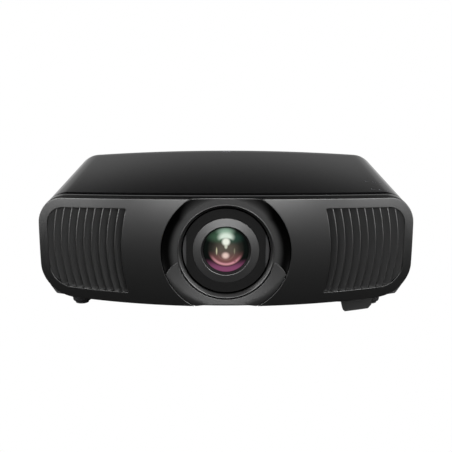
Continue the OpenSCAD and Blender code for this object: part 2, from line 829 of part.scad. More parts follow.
module optical_housing() {
    color(metal) difference() {
        union() {
            plate_box(-optic_w, optic_w, optic_y0, optic_y0 + optic_l, optic_z0, optic_z1);
            plate_box(-optic_w, optic_w, optic_y0 + 6, optic_y0 + optic_l - 6, floor_z, optic_z0);
        }
        plate_box(-optic_w + 4, optic_w - 4, optic_y0 + 4, optic_y0 + optic_l - 4, optic_z0 + 4, optic_z1 - 4);
        plate_box(-optic_w + 20, optic_w - 20, optic_y0, optic_y0 + optic_l, floor_z - 1, optic_z0 - 6);
        rod_y(barrel_r - barrel_wall, optic_y0 - 1, optic_y0 + 5, 0, lens_z);
        // light enters from the phosphor wheel's side
        plate_box(-optic_w - 1, -optic_w + 5, wheel_y - 12, wheel_y + 12, lens_z - 12, lens_z + 12);
    }
    // bearing post for the phosphor wheel
    color(metal) difference() {
        union() {
            plate_box(wheel_x - 8, wheel_x + 8, wheel_y + 6, wheel_y + 12, floor_z, lens_z - 12);
            rod_y(12, wheel_y + 6, wheel_y + 28, wheel_x, lens_z - 12);
        }
        rod_y(shaft_r + run_fit, wheel_y + 5, wheel_y + 24, wheel_x, lens_z - 12);
    }
}

module phosphor_wheel() {
    color([0.85, 0.8, 0.35]) {
        rod_y(wheel_r, wheel_y, wheel_y + 2, wheel_x, lens_z - 12);
        rod_y(9, wheel_y + 2, wheel_y + 5, wheel_x, lens_z - 12);
        rod_y(shaft_r, wheel_y + 5, wheel_y + 23, wheel_x, lens_z - 12);
    }
}

module prism_block() {
    color(glass_tint) {
        plate_box(-18, 18, optic_y0 + 14, optic_y0 + 50, lens_z - 18, lens_z + 18);
        plate_box(-8, 8, optic_y0 + 14, optic_y0 + 50, optic_z0 + 4, lens_z - 18);
    }
    // panels on three sides
    color(board_green) {
        for (s = [-1, 1]) plate_box(s > 0 ? 18 : -21, s > 0 ? 21 : -18, optic_y0 + 20, optic_y0 + 44, lens_z - 13, lens_z + 13);
        plate_box(-13, 13, optic_y0 + 50, optic_y0 + 53, lens_z - 13, lens_z + 13);
    }
}

// ---------- lens and its shift ----------

module lens_box(half_x, y0, y1, z0, z1) {
    plate_box(-half_x, half_x, y0, y1, lens_z + z0, lens_z + z1);
}

module z_rod(r, x, y, z0, z1) {
    translate([x, y, lens_z + z0]) cylinder(r = r, h = z1 - z0);
}

module x_rod(r, x0, x1, y, z) {
    translate([x0, y, lens_z + z]) rotate([0, 90, 0]) cylinder(r = r, h = x1 - x0);
}

xc_mid = xc_y + carriage_t / 2;
zc_mid = zc_y + carriage_t / 2;

module lens_frame() {
    color(metal) difference() {
        union() {
            lens_box(lf_w, lf_y, lf_y + frame_t, -xc_h, xc_h);
            intersection() {
                lens_box(lf_w, lf_y, lf_y + frame_t, foot_h - lens_z, -xc_h);
                base_cavity();
            }
            for (s = [-1, 1]) plate_box(s > 0 ? lf_w - 8 : -lf_w, s > 0 ? lf_w : -lf_w + 8, xc_y, lf_y,
                lens_z - xc_h, lens_z + xc_h);
        }
        lens_box(barrel_r + shift_x + 2, lf_y - 1, lf_y + frame_t + 1, -barrel_r - shift_z - 2, barrel_r + shift_z + 2);
        x_rod(screw_r + run_fit, -lf_w - 1, lf_w + 1, xc_mid, x_screw_z);
    }
    color(metal) for (z = [-guide_z, guide_z]) x_rod(guide_r, -lf_w + 8, lf_w - 8, xc_mid, z);
}

module x_carriage() {
    color(metal) difference() {
        union() {
            lens_box(xc_w, xc_y, xc_y + carriage_t, -xc_h, xc_h);
            for (s = [-1, 1]) plate_box(-xc_w, xc_w, zc_y, xc_y, lens_z + (s > 0 ? xc_h - lug_t : -xc_h),
                lens_z + (s > 0 ? xc_h : -xc_h + lug_t));
        }
        lens_box(barrel_r + 2, xc_y - 1, xc_y + carriage_t + 1, -barrel_r - shift_z - 2, barrel_r + shift_z + 2);
        for (z = [-guide_z, guide_z]) x_rod(guide_r + run_fit, -xc_w - 1, xc_w + 1, xc_mid, z);
        x_rod(screw_r + run_fit, -xc_w - 1, xc_w + 1, xc_mid, x_screw_z);
        z_rod(screw_r + run_fit, z_screw_x, zc_mid, -xc_h - 1, xc_h + 1);
    }
    color(metal) for (x = [-guide_x, guide_x]) z_rod(guide_r, x, zc_mid, -xc_h + lug_t, xc_h - lug_t);
    // shade plate behind the lens's own plate, on four posts
    color(black) {
        difference() {
            lens_box(shade_w, shade_y, shade_y + mask_t, -shade_h, shade_h);
            lens_box(nose_r + 1, shade_y - 1, shade_y + mask_t + 1, -nose_r - shift_z - 0.5, nose_r + shift_z + 0.5);
        }
        for (sx = [-1, 1], sz = [-1, 1]) rod_y(post_r, shade_y + mask_t, zc_y, sx * post_x, lens_z + sz * (xc_h - lug_t / 2));
    }
}

module z_carriage() {
    color(metal) difference() {
        lens_box(zc_w, zc_y, zc_y + carriage_t, -zc_h, zc_h);
        rod_y(barrel_r, zc_y - 1, zc_y + carriage_t + 1, 0, lens_z);
        for (x = [-guide_x, guide_x]) z_rod(guide_r + run_fit, x, zc_mid, -zc_h - 1, zc_h + 1);
        z_rod(screw_r + run_fit, z_screw_x, zc_mid, -zc_h - 1, zc_h + 1);
    }
}

module x_screw() { color(brass) x_rod(screw_r, -lf_w - 3, lf_w + 12, xc_mid, x_screw_z); }
module z_screw() { color(brass) z_rod(screw_r, z_screw_x, zc_mid, -xc_h - z_motor_l + 4, xc_h + 1); }

module x_motor() {
    color(metal) difference() {
        x_rod(motor_r, lf_w, lf_w + motor_l, xc_mid, x_screw_z);
        x_rod(screw_r + run_fit, lf_w - 1, lf_w + 14, xc_mid, x_screw_z);
    }
}

module z_motor() {
    color(metal) difference() {
        z_rod(motor_r, z_screw_x, zc_mid, -xc_h - z_motor_l, -xc_h);
        z_rod(screw_r + run_fit, z_screw_x, zc_mid, -xc_h - z_motor_l + 2, -xc_h + 1);
    }
}

module lens_barrel() {
    color(black) tube_y(barrel_r, barrel_r - barrel_wall, barrel_y0, barrel_y1, 0, lens_z);
}

// Nose ring with a sloping front face and a bevel down to the glass.
module nose_ring() {
    inner = barrel_r - barrel_wall;
    color(metal) translate([0, 0, lens_z]) rotate([90, 0, 0]) rotate_extrude($fn = 180) polygon(concat(
        [[inner, -barrel_y0], [inner, -nose_y - 5], [inner + 4.6, -nose_y - 0.4], [inner + 5.4, -nose_y]],
        [[nose_r - 0.3, -nose_y - 1.2], [nose_r, -nose_y - 1.5], [nose_r, -nose_y - nose_l]],
        [[barrel_r, -nose_y - nose_l], [barrel_r, -barrel_y0]]));
}

module mask_plate() {
    color(black) intersection() {
        tube_y(mask_r, nose_r, mask_y, mask_y + mask_t, 0, lens_z);
        lens_box(mask_flat, mask_y - 1, mask_y + mask_t + 1, -mask_r - 1, mask_r + 1);
    }
}

module lens_disc(r, y, t, bulge) {
    // glass with a domed front
    ball = (r * r + bulge * bulge) / (2 * bulge);
    rod_y(r, y, y + t, 0, lens_z);
    intersection() {
        translate([0, y - bulge + ball, lens_z]) sphere(r = ball, $fn = 120);
        rod_y(r, y - bulge - 1, y, 0, lens_z);
    }
}

module front_glass() {
    color(glass_tint) lens_disc(barrel_r - barrel_wall - run_fit, front_glass_y, 6, 6);
}

module rear_lens_group() {
    color(glass_tint) lens_disc(barrel_r - barrel_wall - run_fit, rear_group_y, 10, 5);
}

module gear_ring(y0) {
    color(black) difference() {
        gear_y(ring_teeth, y0, gear_w, 0, lens_z, 0);
        rod_y(barrel_r + run_fit, y0 - 1, y0 + gear_w + 1, 0, lens_z);
    }
}

module zoom_ring() { gear_ring(zoom_y); }
module focus_ring() { gear_ring(focus_y); }

// A pinion meshed with its ring; side is 1 on the right and -1 on the left.
module pinion(y0, side) {
    angle = side > 0 ? pinion_a : 180 - pinion_a;
    px = gear_rest * cos(angle);
    pz = lens_z + gear_rest * sin(angle);
    // half a tooth off, so that a gap faces the ring's tooth
    turn = angle * (1 + ring_teeth / pinion_teeth) + 180 + 180 / pinion_teeth;
    color(brass) {
        gear_y(pinion_teeth, y0 + 0.5, gear_w - 1, px, pz, turn);
        rod_y(shaft_r, y0 + gear_w - 0.5, bracket_y + bracket_t + 8, px, pz);
    }
}

module zoom_pinion() { pinion(zoom_y, 1); }
module focus_pinion() { pinion(focus_y, -1); }

module ring_motors() {
    px = gear_rest * cos(pinion_a);
    pz = gear_rest * sin(pinion_a);
    color(metal) difference() {
        union() {
            lens_box(px + 7, bracket_y, bracket_y + bracket_t, pz - 8, pz + 18);
            for (s = [-1, 1]) rod_y(motor_r, bracket_y + bracket_t, bracket_y + bracket_t + motor_l, s * px, lens_z + pz);
        }
        rod_y(barrel_r, bracket_y - 1, bracket_y + bracket_t + 1, 0, lens_z);
        for (s = [-1, 1]) rod_y(shaft_r + run_fit, bracket_y - 1, bracket_y + bracket_t + 9, s * px, lens_z + pz);
    }
}

// ---------- cooling ----------

module fan_frame(x) {
    color(black) difference() {
        union() {
            plate_box(x - fan_w / 2, x + fan_w / 2, fan_y, fan_y + fan_d, fan_z - fan_w / 2, fan_z + fan_w / 2);
            for (leg = [fan_w / 2 - 6, 12]) plate_box(x - sign(x) * leg - 4, x - sign(x) * leg + 4, fan_y, fan_y + fan_d,
                floor_z, fan_z - fan_w / 2);
        }
        rod_y(fan_w / 2 - 2, fan_y - 1, fan_y + fan_d + 1, x, fan_z);
    }
    // hub seat and its four arms
    color(black) {
        difference() {
            rod_y(fan_hub_r, fan_y + fan_d - 3, fan_y + fan_d, x, fan_z);
            rod_y(fan_shaft_r + run_fit, fan_y, fan_y + fan_d + 1, x, fan_z);
        }
        difference() {
            union() {
                plate_box(x - fan_w / 2 + 1, x + fan_w / 2 - 1, fan_y + fan_d - 3, fan_y + fan_d, fan_z - 2, fan_z + 2);
                plate_box(x - 2, x + 2, fan_y + fan_d - 3, fan_y + fan_d, fan_z - fan_w / 2 + 1, fan_z + fan_w / 2 - 1);
            }
            rod_y(fan_hub_r - 1, fan_y, fan_y + fan_d + 1, x, fan_z);
        }
    }
}

module fan_frames() {
    fan_frame(fan_x);
    fan_frame(-fan_x);
}

module rotor(x, pitch) {
    color(charcoal) {
        rod_y(fan_hub_r - 0.5, fan_y + 2, fan_y + fan_d - 4, x, fan_z);
        rod_y(fan_shaft_r, fan_y + fan_d - 4, fan_y + fan_d, x, fan_z);
        for (i = [0 : fan_blades - 1]) translate([x, fan_y + (fan_d - 4) / 2 + 1, fan_z]) rotate([0, 360 * i / fan_blades, 0])
            translate([fan_hub_r - 3, 0, 0]) rotate([pitch, 0, 0])
                translate([0, -0.8, -9]) cube([fan_blade_r - fan_hub_r + 2, 1.6, 18]);
    }
}

module exhaust_rotor() { rotor(-fan_x, 35); }
module intake_rotor() { rotor(fan_x, -35); }

module filter_tray() {
    color(black) {
        difference() {
            plate_box(tray_x0, tray_x1, tray_y0, tray_y0 + tray_l, tray_z0, foot_h - fit);
            plate_box(tray_x0 + 6, tray_x1 - 6, tray_y0 + 10, tray_y0 + tray_l - 6, tray_z0 + 1.6, foot_h);
            for (i = [0 : 6]) plate_box(tray_x0 + 9, tray_x1 - 9, tray_y0 + 13 + 14 * i, tray_y0 + 21 + 14 * i,
                tray_z0 - 1, tray_z0 + 2);
        }
        // finger grip in front, following the bow
        intersection() {
            difference() {
                bow_cylinder(grip_r);
                bow_cylinder(grip_r - grip_t);
            }
            run_y(y_front, foot_y - foot_r - 3) polygon([[grip_x0 + 6, grip_z0], [grip_x1 - 5, grip_z0], [grip_x1, grip_z0 + 5],
                [grip_x1, foot_h - fit], [grip_x0, foot_h - fit], [grip_x0 + 3, grip_z0 + 3]]);
        }
    }
}

module filter_pad() {
    color([0.8, 0.8, 0.78]) plate_box(tray_x0 + 6, tray_x1 - 6, tray_y0 + 10, tray_y0 + tray_l - 6, tray_z0 + 1.6, foot_h - 1);
}

// ---------- feet ----------

module front_foot(x) {
    color(black) translate([x, foot_y, 0]) rotate_extrude() polygon([
        [0, pad_t], [foot_r - 4, pad_t], [foot_r - 1, pad_t + 5], [foot_r, pad_t + 6], [foot_r, pad_t + disc_t],
        [stud_r + 2, pad_t + disc_t], [stud_r + 2, foot_h - fit], [stud_r, foot_h - fit],
        [stud_r, foot_h + boss_h - 2], [0, foot_h + boss_h - 2]]);
}

module front_left_foot() { front_foot(-foot_x); }
module front_right_foot() { front_foot(foot_x); }

module foot_pad(x) {
    color(rubber) translate([x, foot_y, 0]) cylinder(r = foot_r - 4.5, h = pad_t - 0.01);
}

module left_foot_pad() { foot_pad(-foot_x); }
module right_foot_pad() { foot_pad(foot_x); }

module rear_feet() {
    color(rubber) for (x = [-foot_x, foot_x]) translate([x, rear_foot_y, 0]) {
        cylinder(r = foot_r - 1, h = foot_h);
        cylinder(r = 3, h = foot_h + wall);
    }
}

module case_screws() {
    color(metal) case_screw_spots() {
        translate([0, 0, foot_h + 12]) cylinder(r = 3.2, h = 2.5);
        translate([0, 0, foot_h + 12]) cylinder(r = 1.5, h = split_z - foot_h);
    }
}

base_tray();
top_cover();
top_front_trim();
front_bezel();
left_grille();
right_grille();
lens_bowl();
lens_chin();
lens_rim();
rear_panel();
control_plate();
status_lights();
remote_window();
hdmi_sockets();
usb_sockets();
data_sockets();
power_inlet();
power_button();
menu_button();
escape_button();
enter_button();
up_button();
down_button();
left_button();
right_button();
main_board();
power_supply();
laser_bank();
heat_sink();
optical_housing();
phosphor_wheel();
prism_block();
lens_frame();
x_carriage();
z_carriage();
x_screw();
z_screw();
x_motor();
z_motor();
ring_motors();
lens_barrel();
nose_ring();
front_glass();
focus_ring();
focus_pinion();
zoom_ring();
zoom_pinion();
rear_lens_group();
mask_plate();
fan_frames();
exhaust_rotor();
intake_rotor();
filter_tray();
filter_pad();
front_left_foot();
front_right_foot();
left_foot_pad();
right_foot_pad();
rear_feet();
case_screws();
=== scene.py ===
"""Looks of the home projector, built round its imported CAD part.

Lengths are in millimetres until a mesh is made.
"""

import json
import logging
import math
from dataclasses import dataclass
from enum import Enum
from typing import Callable, Dict, List, Optional, Sequence, Tuple, Union

import bpy
import numpy as np
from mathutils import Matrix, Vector, geometry

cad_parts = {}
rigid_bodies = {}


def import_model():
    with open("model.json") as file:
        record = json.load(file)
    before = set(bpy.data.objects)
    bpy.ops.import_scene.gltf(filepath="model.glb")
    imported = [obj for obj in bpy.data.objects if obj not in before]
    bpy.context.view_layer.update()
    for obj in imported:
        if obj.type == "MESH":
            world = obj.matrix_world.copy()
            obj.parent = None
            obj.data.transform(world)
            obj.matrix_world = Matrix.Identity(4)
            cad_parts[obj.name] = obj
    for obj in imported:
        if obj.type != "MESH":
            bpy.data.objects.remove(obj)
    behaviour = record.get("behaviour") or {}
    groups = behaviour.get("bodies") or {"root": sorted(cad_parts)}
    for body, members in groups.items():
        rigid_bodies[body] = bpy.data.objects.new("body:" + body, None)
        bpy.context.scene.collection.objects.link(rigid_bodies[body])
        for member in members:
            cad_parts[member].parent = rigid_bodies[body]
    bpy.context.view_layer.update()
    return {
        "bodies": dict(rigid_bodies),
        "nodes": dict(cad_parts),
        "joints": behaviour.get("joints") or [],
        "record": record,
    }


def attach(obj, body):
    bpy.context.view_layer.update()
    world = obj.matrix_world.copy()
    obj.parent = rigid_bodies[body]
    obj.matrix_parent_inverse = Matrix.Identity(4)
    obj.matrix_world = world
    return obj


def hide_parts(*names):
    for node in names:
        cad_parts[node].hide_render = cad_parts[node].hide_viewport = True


LOG = logging.getLogger("projector")
MM = 0.001
Point2 = Tuple[float, float]
Point3 = Tuple[float, float, float]
Colour = Tuple[float, float, float, float]
Tree = bpy.types.NodeTree
Node = bpy.types.Node
Socket = bpy.types.NodeSocket
Value = Union[float, Socket]
Object = bpy.types.Object
WHITE = (1.0, 1.0, 1.0, 1.0)
DEEP_BLACK = (0.0003, 0.0003, 0.0003, 1.0)


# ---------------------------------------------------------------- shape of the case


@dataclass(frozen=True)
class CaseShape:
    """Sizes of the case that several pieces share."""

    half_w: float = 260.0
    front: float = -223.5
    back: float = 223.5
    bow_r: float = 590.0
    bulge_r: float = 420.0
    bulge_z: float = 123.0
    lip_z: float = 190.0
    face_z: float = 40.0
    split_z: float = 100.2
    crown_r: float = 3400.0
    top_r: float = 38.0
    low_r: float = 45.0
    low_w: float = 48.0
    rear_r: float = 32.0
    slope: float = math.tan(math.radians(0.55))
    seam_r: float = 576.0
    strip_r: float = 560.0
    tilt_rise: float = 38.0
    lens_z: float = 116.0
    bowl_r: float = 87.5

    @property
    def bow_y(self) -> float:
        """Y of the centre of the front's bow."""
        return self.front + self.bow_r

    def front_y(self, x: np.ndarray, z: np.ndarray) -> np.ndarray:
        """Y of the front skin.

        Args:
            x: distances from the middle.
            z: heights above the table.

        Returns:
            Y of the skin at each point.
        """
        dz = np.asarray(z, float) - self.bulge_z
        radius = self.bow_r - self.bulge_r + np.sqrt(self.bulge_r**2 - dz**2)
        return self.bow_y - np.sqrt(radius**2 - np.asarray(x, float) ** 2)

    def bow_at(self, x: np.ndarray, radius: float) -> np.ndarray:
        """Y of a vertical cylinder of that radius about the bow's centre."""
        return self.bow_y - np.sqrt(radius**2 - np.asarray(x, float) ** 2)

    def top_corner(self, inset: float = 0.0) -> Tuple[float, float, float]:
        """Centre height, radius and tangent angle of the upper corner."""
        r = self.top_r - inset
        rc = self.crown_r - inset
        top = self.lip_z - inset
        half = self.half_w - inset
        cz = top - rc + math.sqrt((rc - r) ** 2 - (half - r) ** 2)
        return cz, r, math.atan2(cz - (top - rc), half - r)

    def upper_half(self, inset: float, n: int) -> np.ndarray:
        """Points from the right upper corner's foot to the crown's middle."""
        cz, r, turn = self.top_corner(inset)
        half, top, rc = self.half_w - inset, self.lip_z - inset, self.crown_r - inset
        a = np.linspace(0, turn, n)
        corner = np.stack([half - r + r * np.cos(a), cz + r * np.sin(a)], 1)
        b = np.linspace(turn, math.pi / 2, n + 8)[1:]
        crown = np.stack([rc * np.cos(b), top - rc + rc * np.sin(b)], 1)
        return np.concatenate([corner, crown])

    def upper_path(self, inset: float = 0.0, n: int = 18) -> np.ndarray:
        """Points from the right split line over the top to the left one."""
        half = self.upper_half(inset, n)
        side_z = np.linspace(self.split_z, half[0, 1], 8)[:-1]
        side = np.stack([np.full_like(side_z, self.half_w - inset), side_z], 1)
        right = np.concatenate([side, half])
        left = right[:-1][::-1] * [-1, 1]
        return np.concatenate([right, left])

    def right_outline(self, n: int = 18) -> np.ndarray:
        """Right half of the front's outline, from the bottom's middle to the crown's middle."""
        cx, cz = self.half_w - self.low_w, self.face_z + self.low_r
        a = np.linspace(-math.pi / 2, 0, n)
        low = np.stack([cx + self.low_w * np.cos(a), cz + self.low_r * np.sin(a)], 1)
        bottom_x = np.linspace(0, cx, 56)[:-1]
        bottom = np.stack([bottom_x, np.full_like(bottom_x, self.face_z)], 1)
        upper = self.upper_half(0.0, n)
        side_z = np.linspace(cz, upper[0, 1], 14)[1:-1]
        side = np.stack([np.full_like(side_z, self.half_w), side_z], 1)
        return np.concatenate([bottom, low, side, upper])

    def tilt(self, y: np.ndarray, z: np.ndarray) -> np.ndarray:
        """Heights lowered towards the back, by the slope of the top."""
        share = np.clip((z - self.split_z) / self.tilt_rise, 0, 1)
        return z - share * (y - self.front) * self.slope


CASE = CaseShape()


# ---------------------------------------------------------------- meshes


class Shape:
    """Vertices and faces in millimetres, gathered into one mesh."""

    def __init__(self) -> None:
        self.verts: List[np.ndarray] = []
        self.faces: List[Tuple[int, ...]] = []
        self.count = 0

    def add(self, verts: np.ndarray, faces: Sequence[Sequence[int]]) -> None:
        """Adds vertices, and faces that count from the first of them."""
        base = self.count
        self.verts.append(np.asarray(verts, float).reshape(-1, 3))
        self.count += len(self.verts[-1])
        self.faces.extend(tuple(base + i for i in f) for f in faces)

    def grid(self, p: np.ndarray, closed: bool = False) -> None:
        """Adds a grid of quads.

        Args:
            p: points, rows by columns by three. Rows run away from the viewer or outwards.
            closed: whether the last column joins the first.
        """
        rows, cols = p.shape[:2]
        last = cols if closed else cols - 1
        faces = []
        for r in range(rows - 1):
            for c in range(last):
                d = (c + 1) % cols
                faces.append((r * cols + c, (r + 1) * cols + c, (r + 1) * cols + d, r * cols + d))
        self.add(p.reshape(-1, 3), faces)

    def mirrored(self) -> "Shape":
        """The same shape on the other side of the middle."""
        out = Shape()
        verts = np.concatenate(self.verts) * [-1, 1, 1]
        out.add(verts, [f[::-1] for f in self.faces])
        return out

    def build(self, name: str, sharp_deg: float = 38.0, weld: float = 0.02) -> Object:
        """Makes the object.

        Args:
            name: its name.
            sharp_deg: edges that turn more than this stay sharp.
            weld: points nearer than this are merged, in millimetres.

        Returns:
            The object, linked to the scene, with its place in its mesh.
        """
        mesh = bpy.data.meshes.new(name)
        verts = np.concatenate(self.verts) * MM
        mesh.from_pydata(verts.tolist(), [], self.faces)
        mesh.validate()
        obj = bpy.data.objects.new(name, mesh)
        bpy.context.scene.collection.objects.link(obj)
        with_weld = obj.modifiers.new("weld", "WELD")
        with_weld.merge_threshold = weld * MM
        return finish_mesh(obj, sharp_deg)


def finish_mesh(obj: Object, sharp_deg: float = 38.0) -> Object:
    """Applies the modifiers of an object and shades it smooth with sharp edges."""
    deps = bpy.context.evaluated_depsgraph_get()
    plain = bpy.data.meshes.new_from_object(obj.evaluated_get(deps))
    old = obj.data
    obj.modifiers.clear()
    obj.data = plain
    plain.name = obj.name
    if old.users == 0:
        bpy.data.meshes.remove(old)
    plain.polygons.foreach_set("use_smooth", np.ones(len(plain.polygons), bool))
    plain.set_sharp_from_angle(angle=math.radians(sharp_deg))
    plain.update()
    return obj


def inset_loop(loop: np.ndarray, d: float) -> np.ndarray:
    """Moves a closed loop to its left by d, with mitred corners."""
    ahead = np.roll(loop, -1, 0) - loop
    ahead /= np.linalg.norm(ahead, axis=1)[:, None]
    behind = np.roll(ahead, 1, 0)
    n1 = np.stack([-ahead[:, 1], ahead[:, 0]], 1)
    n0 = np.stack([-behind[:, 1], behind[:, 0]], 1)
    n = n0 + n1
    n /= np.linalg.norm(n, axis=1)[:, None]
    mitre = np.clip((n * n1).sum(1), 0.5, 1)
    return loop + n * (d / mitre)[:, None]


def inside(points: np.ndarray, loop: np.ndarray) -> np.ndarray:
    """Which points lie inside a closed loop."""
    x, y = points[:, 0][:, None], points[:, 1][:, None]
    x0, y0 = loop[:, 0][None], loop[:, 1][None]
    x1, y1 = np.roll(x0, -1), np.roll(y0, -1)
    crosses = (y0 > y) != (y1 > y)
    dy = np.where(y1 == y0, 1e-9, y1 - y0)
    at = x0 + (y - y0) * (x1 - x0) / dy
    return ((x < at) & crosses).sum(1) % 2 == 1


def panel(
    outer: np.ndarray,
    holes: Sequence[np.ndarray],
    skin: Callable,
    wall_to: Sequence[Callable],
    edge_r: float = 0.9,
    spacing: float = 5.0,
) -> Shape:
    """A curved front plate with rounded edges and walls that run back.

    Args:
        outer: loop of X and Z, anticlockwise seen from the front.
        holes: loops seen clockwise from the front.
        skin: gives Y of the plate's front from X and Z.
        wall_to: for each loop, gives Y where its wall ends.
        edge_r: radius of the rounded edges.
        spacing: distance between the points of the front.

    Returns:
        The plate's shape.
    """
    out = Shape()
    loops = [outer, *holes]
    support, clear = 0.7, 1.6
    inner = []
    for loop, wall in zip(loops, wall_to):
        rings = []
        flat = inset_loop(loop, edge_r + support)
        inner.append(flat)
        rings.append(np.stack([flat[:, 0], skin(flat[:, 0], flat[:, 1]), flat[:, 1]], 1))
        for a in np.linspace(0, math.pi / 2, 6):
            ring = inset_loop(loop, edge_r * (1 - math.sin(a)))
            y = skin(ring[:, 0], ring[:, 1]) + edge_r * (1 - math.cos(a))
            rings.append(np.stack([ring[:, 0], y, ring[:, 1]], 1))
        y_end = np.maximum(wall(loop[:, 0], loop[:, 1]), rings[-1][:, 1] + 0.1)
        rings.append(np.stack([loop[:, 0], y_end, loop[:, 1]], 1))
        out.grid(np.stack(rings), closed=True)
    low, high = outer.min(0), outer.max(0)
    gx, gz = np.meshgrid(np.arange(low[0], high[0], spacing), np.arange(low[1], high[1], spacing))
    pts = np.stack([gx.ravel(), gz.ravel()], 1)
    keep = inside(pts, inset_loop(outer, edge_r + support + clear))
    for h in holes:
        keep &= ~inside(pts, inset_loop(h, edge_r + support + clear))
    pts = pts[keep]
    coords, edges, start = [], [], 0
    for loop in inner:
        n = len(loop)
        coords.append(loop)
        edges += [(start + i, start + (i + 1) % n) for i in range(n)]
        start += n
    coords.append(pts)
    flat = np.concatenate(coords)
    verts, _, faces, *_ = geometry.delaunay_2d_cdt([Vector(p) for p in flat], edges, [], 0, 1e-5)
    xz = np.array([tuple(v) for v in verts])
    tri = np.array([f for f in faces if len(f) == 3])
    centre = xz[tri].mean(1)
    ok = inside(centre, inner[0])
    for h in inner[1:]:
        ok &= ~inside(centre, h)
    tri = tri[ok]
    a, b, c = xz[tri[:, 0]], xz[tri[:, 1]], xz[tri[:, 2]]
    area = (b[:, 0] - a[:, 0]) * (c[:, 1] - a[:, 1]) - (b[:, 1] - a[:, 1]) * (c[:, 0] - a[:, 0])
    tri[area < 0] = tri[area < 0][:, ::-1]
    out.add(np.stack([xz[:, 0], skin(xz[:, 0], xz[:, 1]), xz[:, 1]], 1), tri.tolist())
    return out


def revolve(profile: Sequence[Point2], n: int = 180) -> Shape:
    """Turns a profile of radius and Y about the lens's axis.

    Args:
        profile: points that run outwards on faces that look forwards.
        n: number of steps round.

    Returns:
        The turned shape.
    """
    a = np.linspace(0, 2 * math.pi, n, endpoint=False)
    rows = [np.stack([r * np.cos(a), np.full(n, y), CASE.lens_z + r * np.sin(a)], 1) for r, y in profile]
    out = Shape()
    out.grid(np.stack(rows), closed=True)
    return out


def revolve_up(profile: Sequence[Point2], x: float, y: float, n: int = 72) -> Shape:
    """Turns a profile of radius and Z about a vertical line. The profile runs upwards on the outside."""
    a = np.linspace(0, 2 * math.pi, n, endpoint=False)[::-1]
    rows = [np.stack([x + r * np.cos(a), y + r * np.sin(a), np.full(n, z)], 1) for r, z in profile]
    out = Shape()
    out.grid(np.stack(rows), closed=True)
    return out


# ---------------------------------------------------------------- node trees


def add_node(tree: Tree, kind: str, values: Optional[dict] = None, **settings) -> bpy.types.Node:
    """Adds a node.

    Args:
        tree: the node tree.
        kind: the node's type name.
        values: input name or number to a value, or to a socket to link.
        settings: properties of the node.

    Returns:
        The node.
    """
    node = tree.nodes.new(kind)
    for key, value in settings.items():
        setattr(node, key, value)
    for key, value in (values or {}).items():
        target = node.inputs[key]
        if isinstance(value, bpy.types.NodeSocket):
            tree.links.new(value, target)
        else:
            target.default_value = value
    return node


def maths(tree: Tree, op: str, a: Value, b: Value = 0.0, clamp: bool = False) -> Socket:
    """Adds one sum to a tree and gives its result."""
    return add_node(tree, "ShaderNodeMath", {0: a, 1: b}, operation=op, use_clamp=clamp).outputs[0]


def ranged(tree: Tree, value: Socket, source: Point2, target: Point2 = (0, 1), soft: bool = False) -> Socket:
    """Maps a value from one range to another, with soft ends if asked.

    Args:
        tree: the node tree.
        value: the socket to map.
        source: the value's range.
        target: what the two ends of the range become.
        soft: whether the ends ease in and out.

    Returns:
        The mapped value's socket.
    """
    limits = {"Value": value, "From Min": source[0], "From Max": source[1]}
    limits.update({"To Min": target[0], "To Max": target[1]})
    kind = "SMOOTHSTEP" if soft else "LINEAR"
    return add_node(tree, "ShaderNodeMapRange", limits, interpolation_type=kind).outputs[0]


def blank(owner: bpy.types.ID) -> Tuple[Tree, Node]:
    """Empties the node tree of a material or world, and gives it with a new output node."""
    owner.use_nodes = True
    tree = owner.node_tree
    tree.nodes.clear()
    world = isinstance(owner, bpy.types.World)
    return tree, add_node(tree, "ShaderNodeOutputWorld" if world else "ShaderNodeOutputMaterial")


def blend(tree: Tree, share: Value, first: Node, second: Node) -> Node:
    """Mixes two shaders."""
    return add_node(tree, "ShaderNodeMixShader", {0: share, 1: first.outputs[0], 2: second.outputs[0]})


def glow(tree: Tree, strength: float) -> Node:
    """Makes a white emission shader."""
    return add_node(tree, "ShaderNodeEmission", {"Color": WHITE, "Strength": strength})


def geometry_tree(name: str, inputs: Dict[str, str]) -> Tuple[Tree, Node]:
    """Starts a geometry node tree.

    Args:
        name: the tree's name.
        inputs: the name and kind of each input, in order.

    Returns:
        The tree and its input node.
    """
    tree = bpy.data.node_groups.new(name, "GeometryNodeTree")
    for key, kind in inputs.items():
        tree.interface.new_socket(key, in_out="INPUT", socket_type="NodeSocket" + kind)
    tree.interface.new_socket("Geometry", in_out="OUTPUT", socket_type="NodeSocketGeometry")
    return tree, add_node(tree, "NodeGroupInput")


def copies(tree: Tree, points: Node, shape: Socket) -> Node:
    """Puts a shape on every point and makes the copies real."""
    spread = add_node(tree, "GeometryNodeInstanceOnPoints", {"Points": points.outputs[0], "Instance": shape})
    return add_node(tree, "GeometryNodeRealizeInstances", {"Geometry": spread.outputs[0]})


def end_tree(tree: Tree, shape: Node, finish: Socket) -> None:
    """Gives a tree's last shape its finish and sends it out."""
    dressed = add_node(tree, "GeometryNodeSetMaterial", {"Geometry": shape.outputs[0], "Material": finish})
    tree.links.new(dressed.outputs[0], add_node(tree, "NodeGroupOutput").inputs[0])


def linear(hex_colour: str) -> Colour:
    """A linear colour from an sRGB hex one."""
    out = []
    for i in (0, 2, 4):
        c = int(hex_colour.lstrip("#")[i : i + 2], 16) / 255
        out.append(c / 12.92 if c <= 0.04045 else ((c + 0.055) / 1.055) ** 2.4)
    return (*out, 1.0)


def shade(colour: Colour, k: float) -> Colour:
    """A colour made k times as bright."""
    return (*(min(1.0, c * k) for c in colour[:3]), 1.0)


class Kind(Enum):
    """Families of finish."""

    MOULDED = "moulded"
    METAL = "metal"
    BRUSHED = "brushed"
    GLASS = "glass"
    RUBBER = "rubber"
    BOARD = "board"
    FLEECE = "fleece"


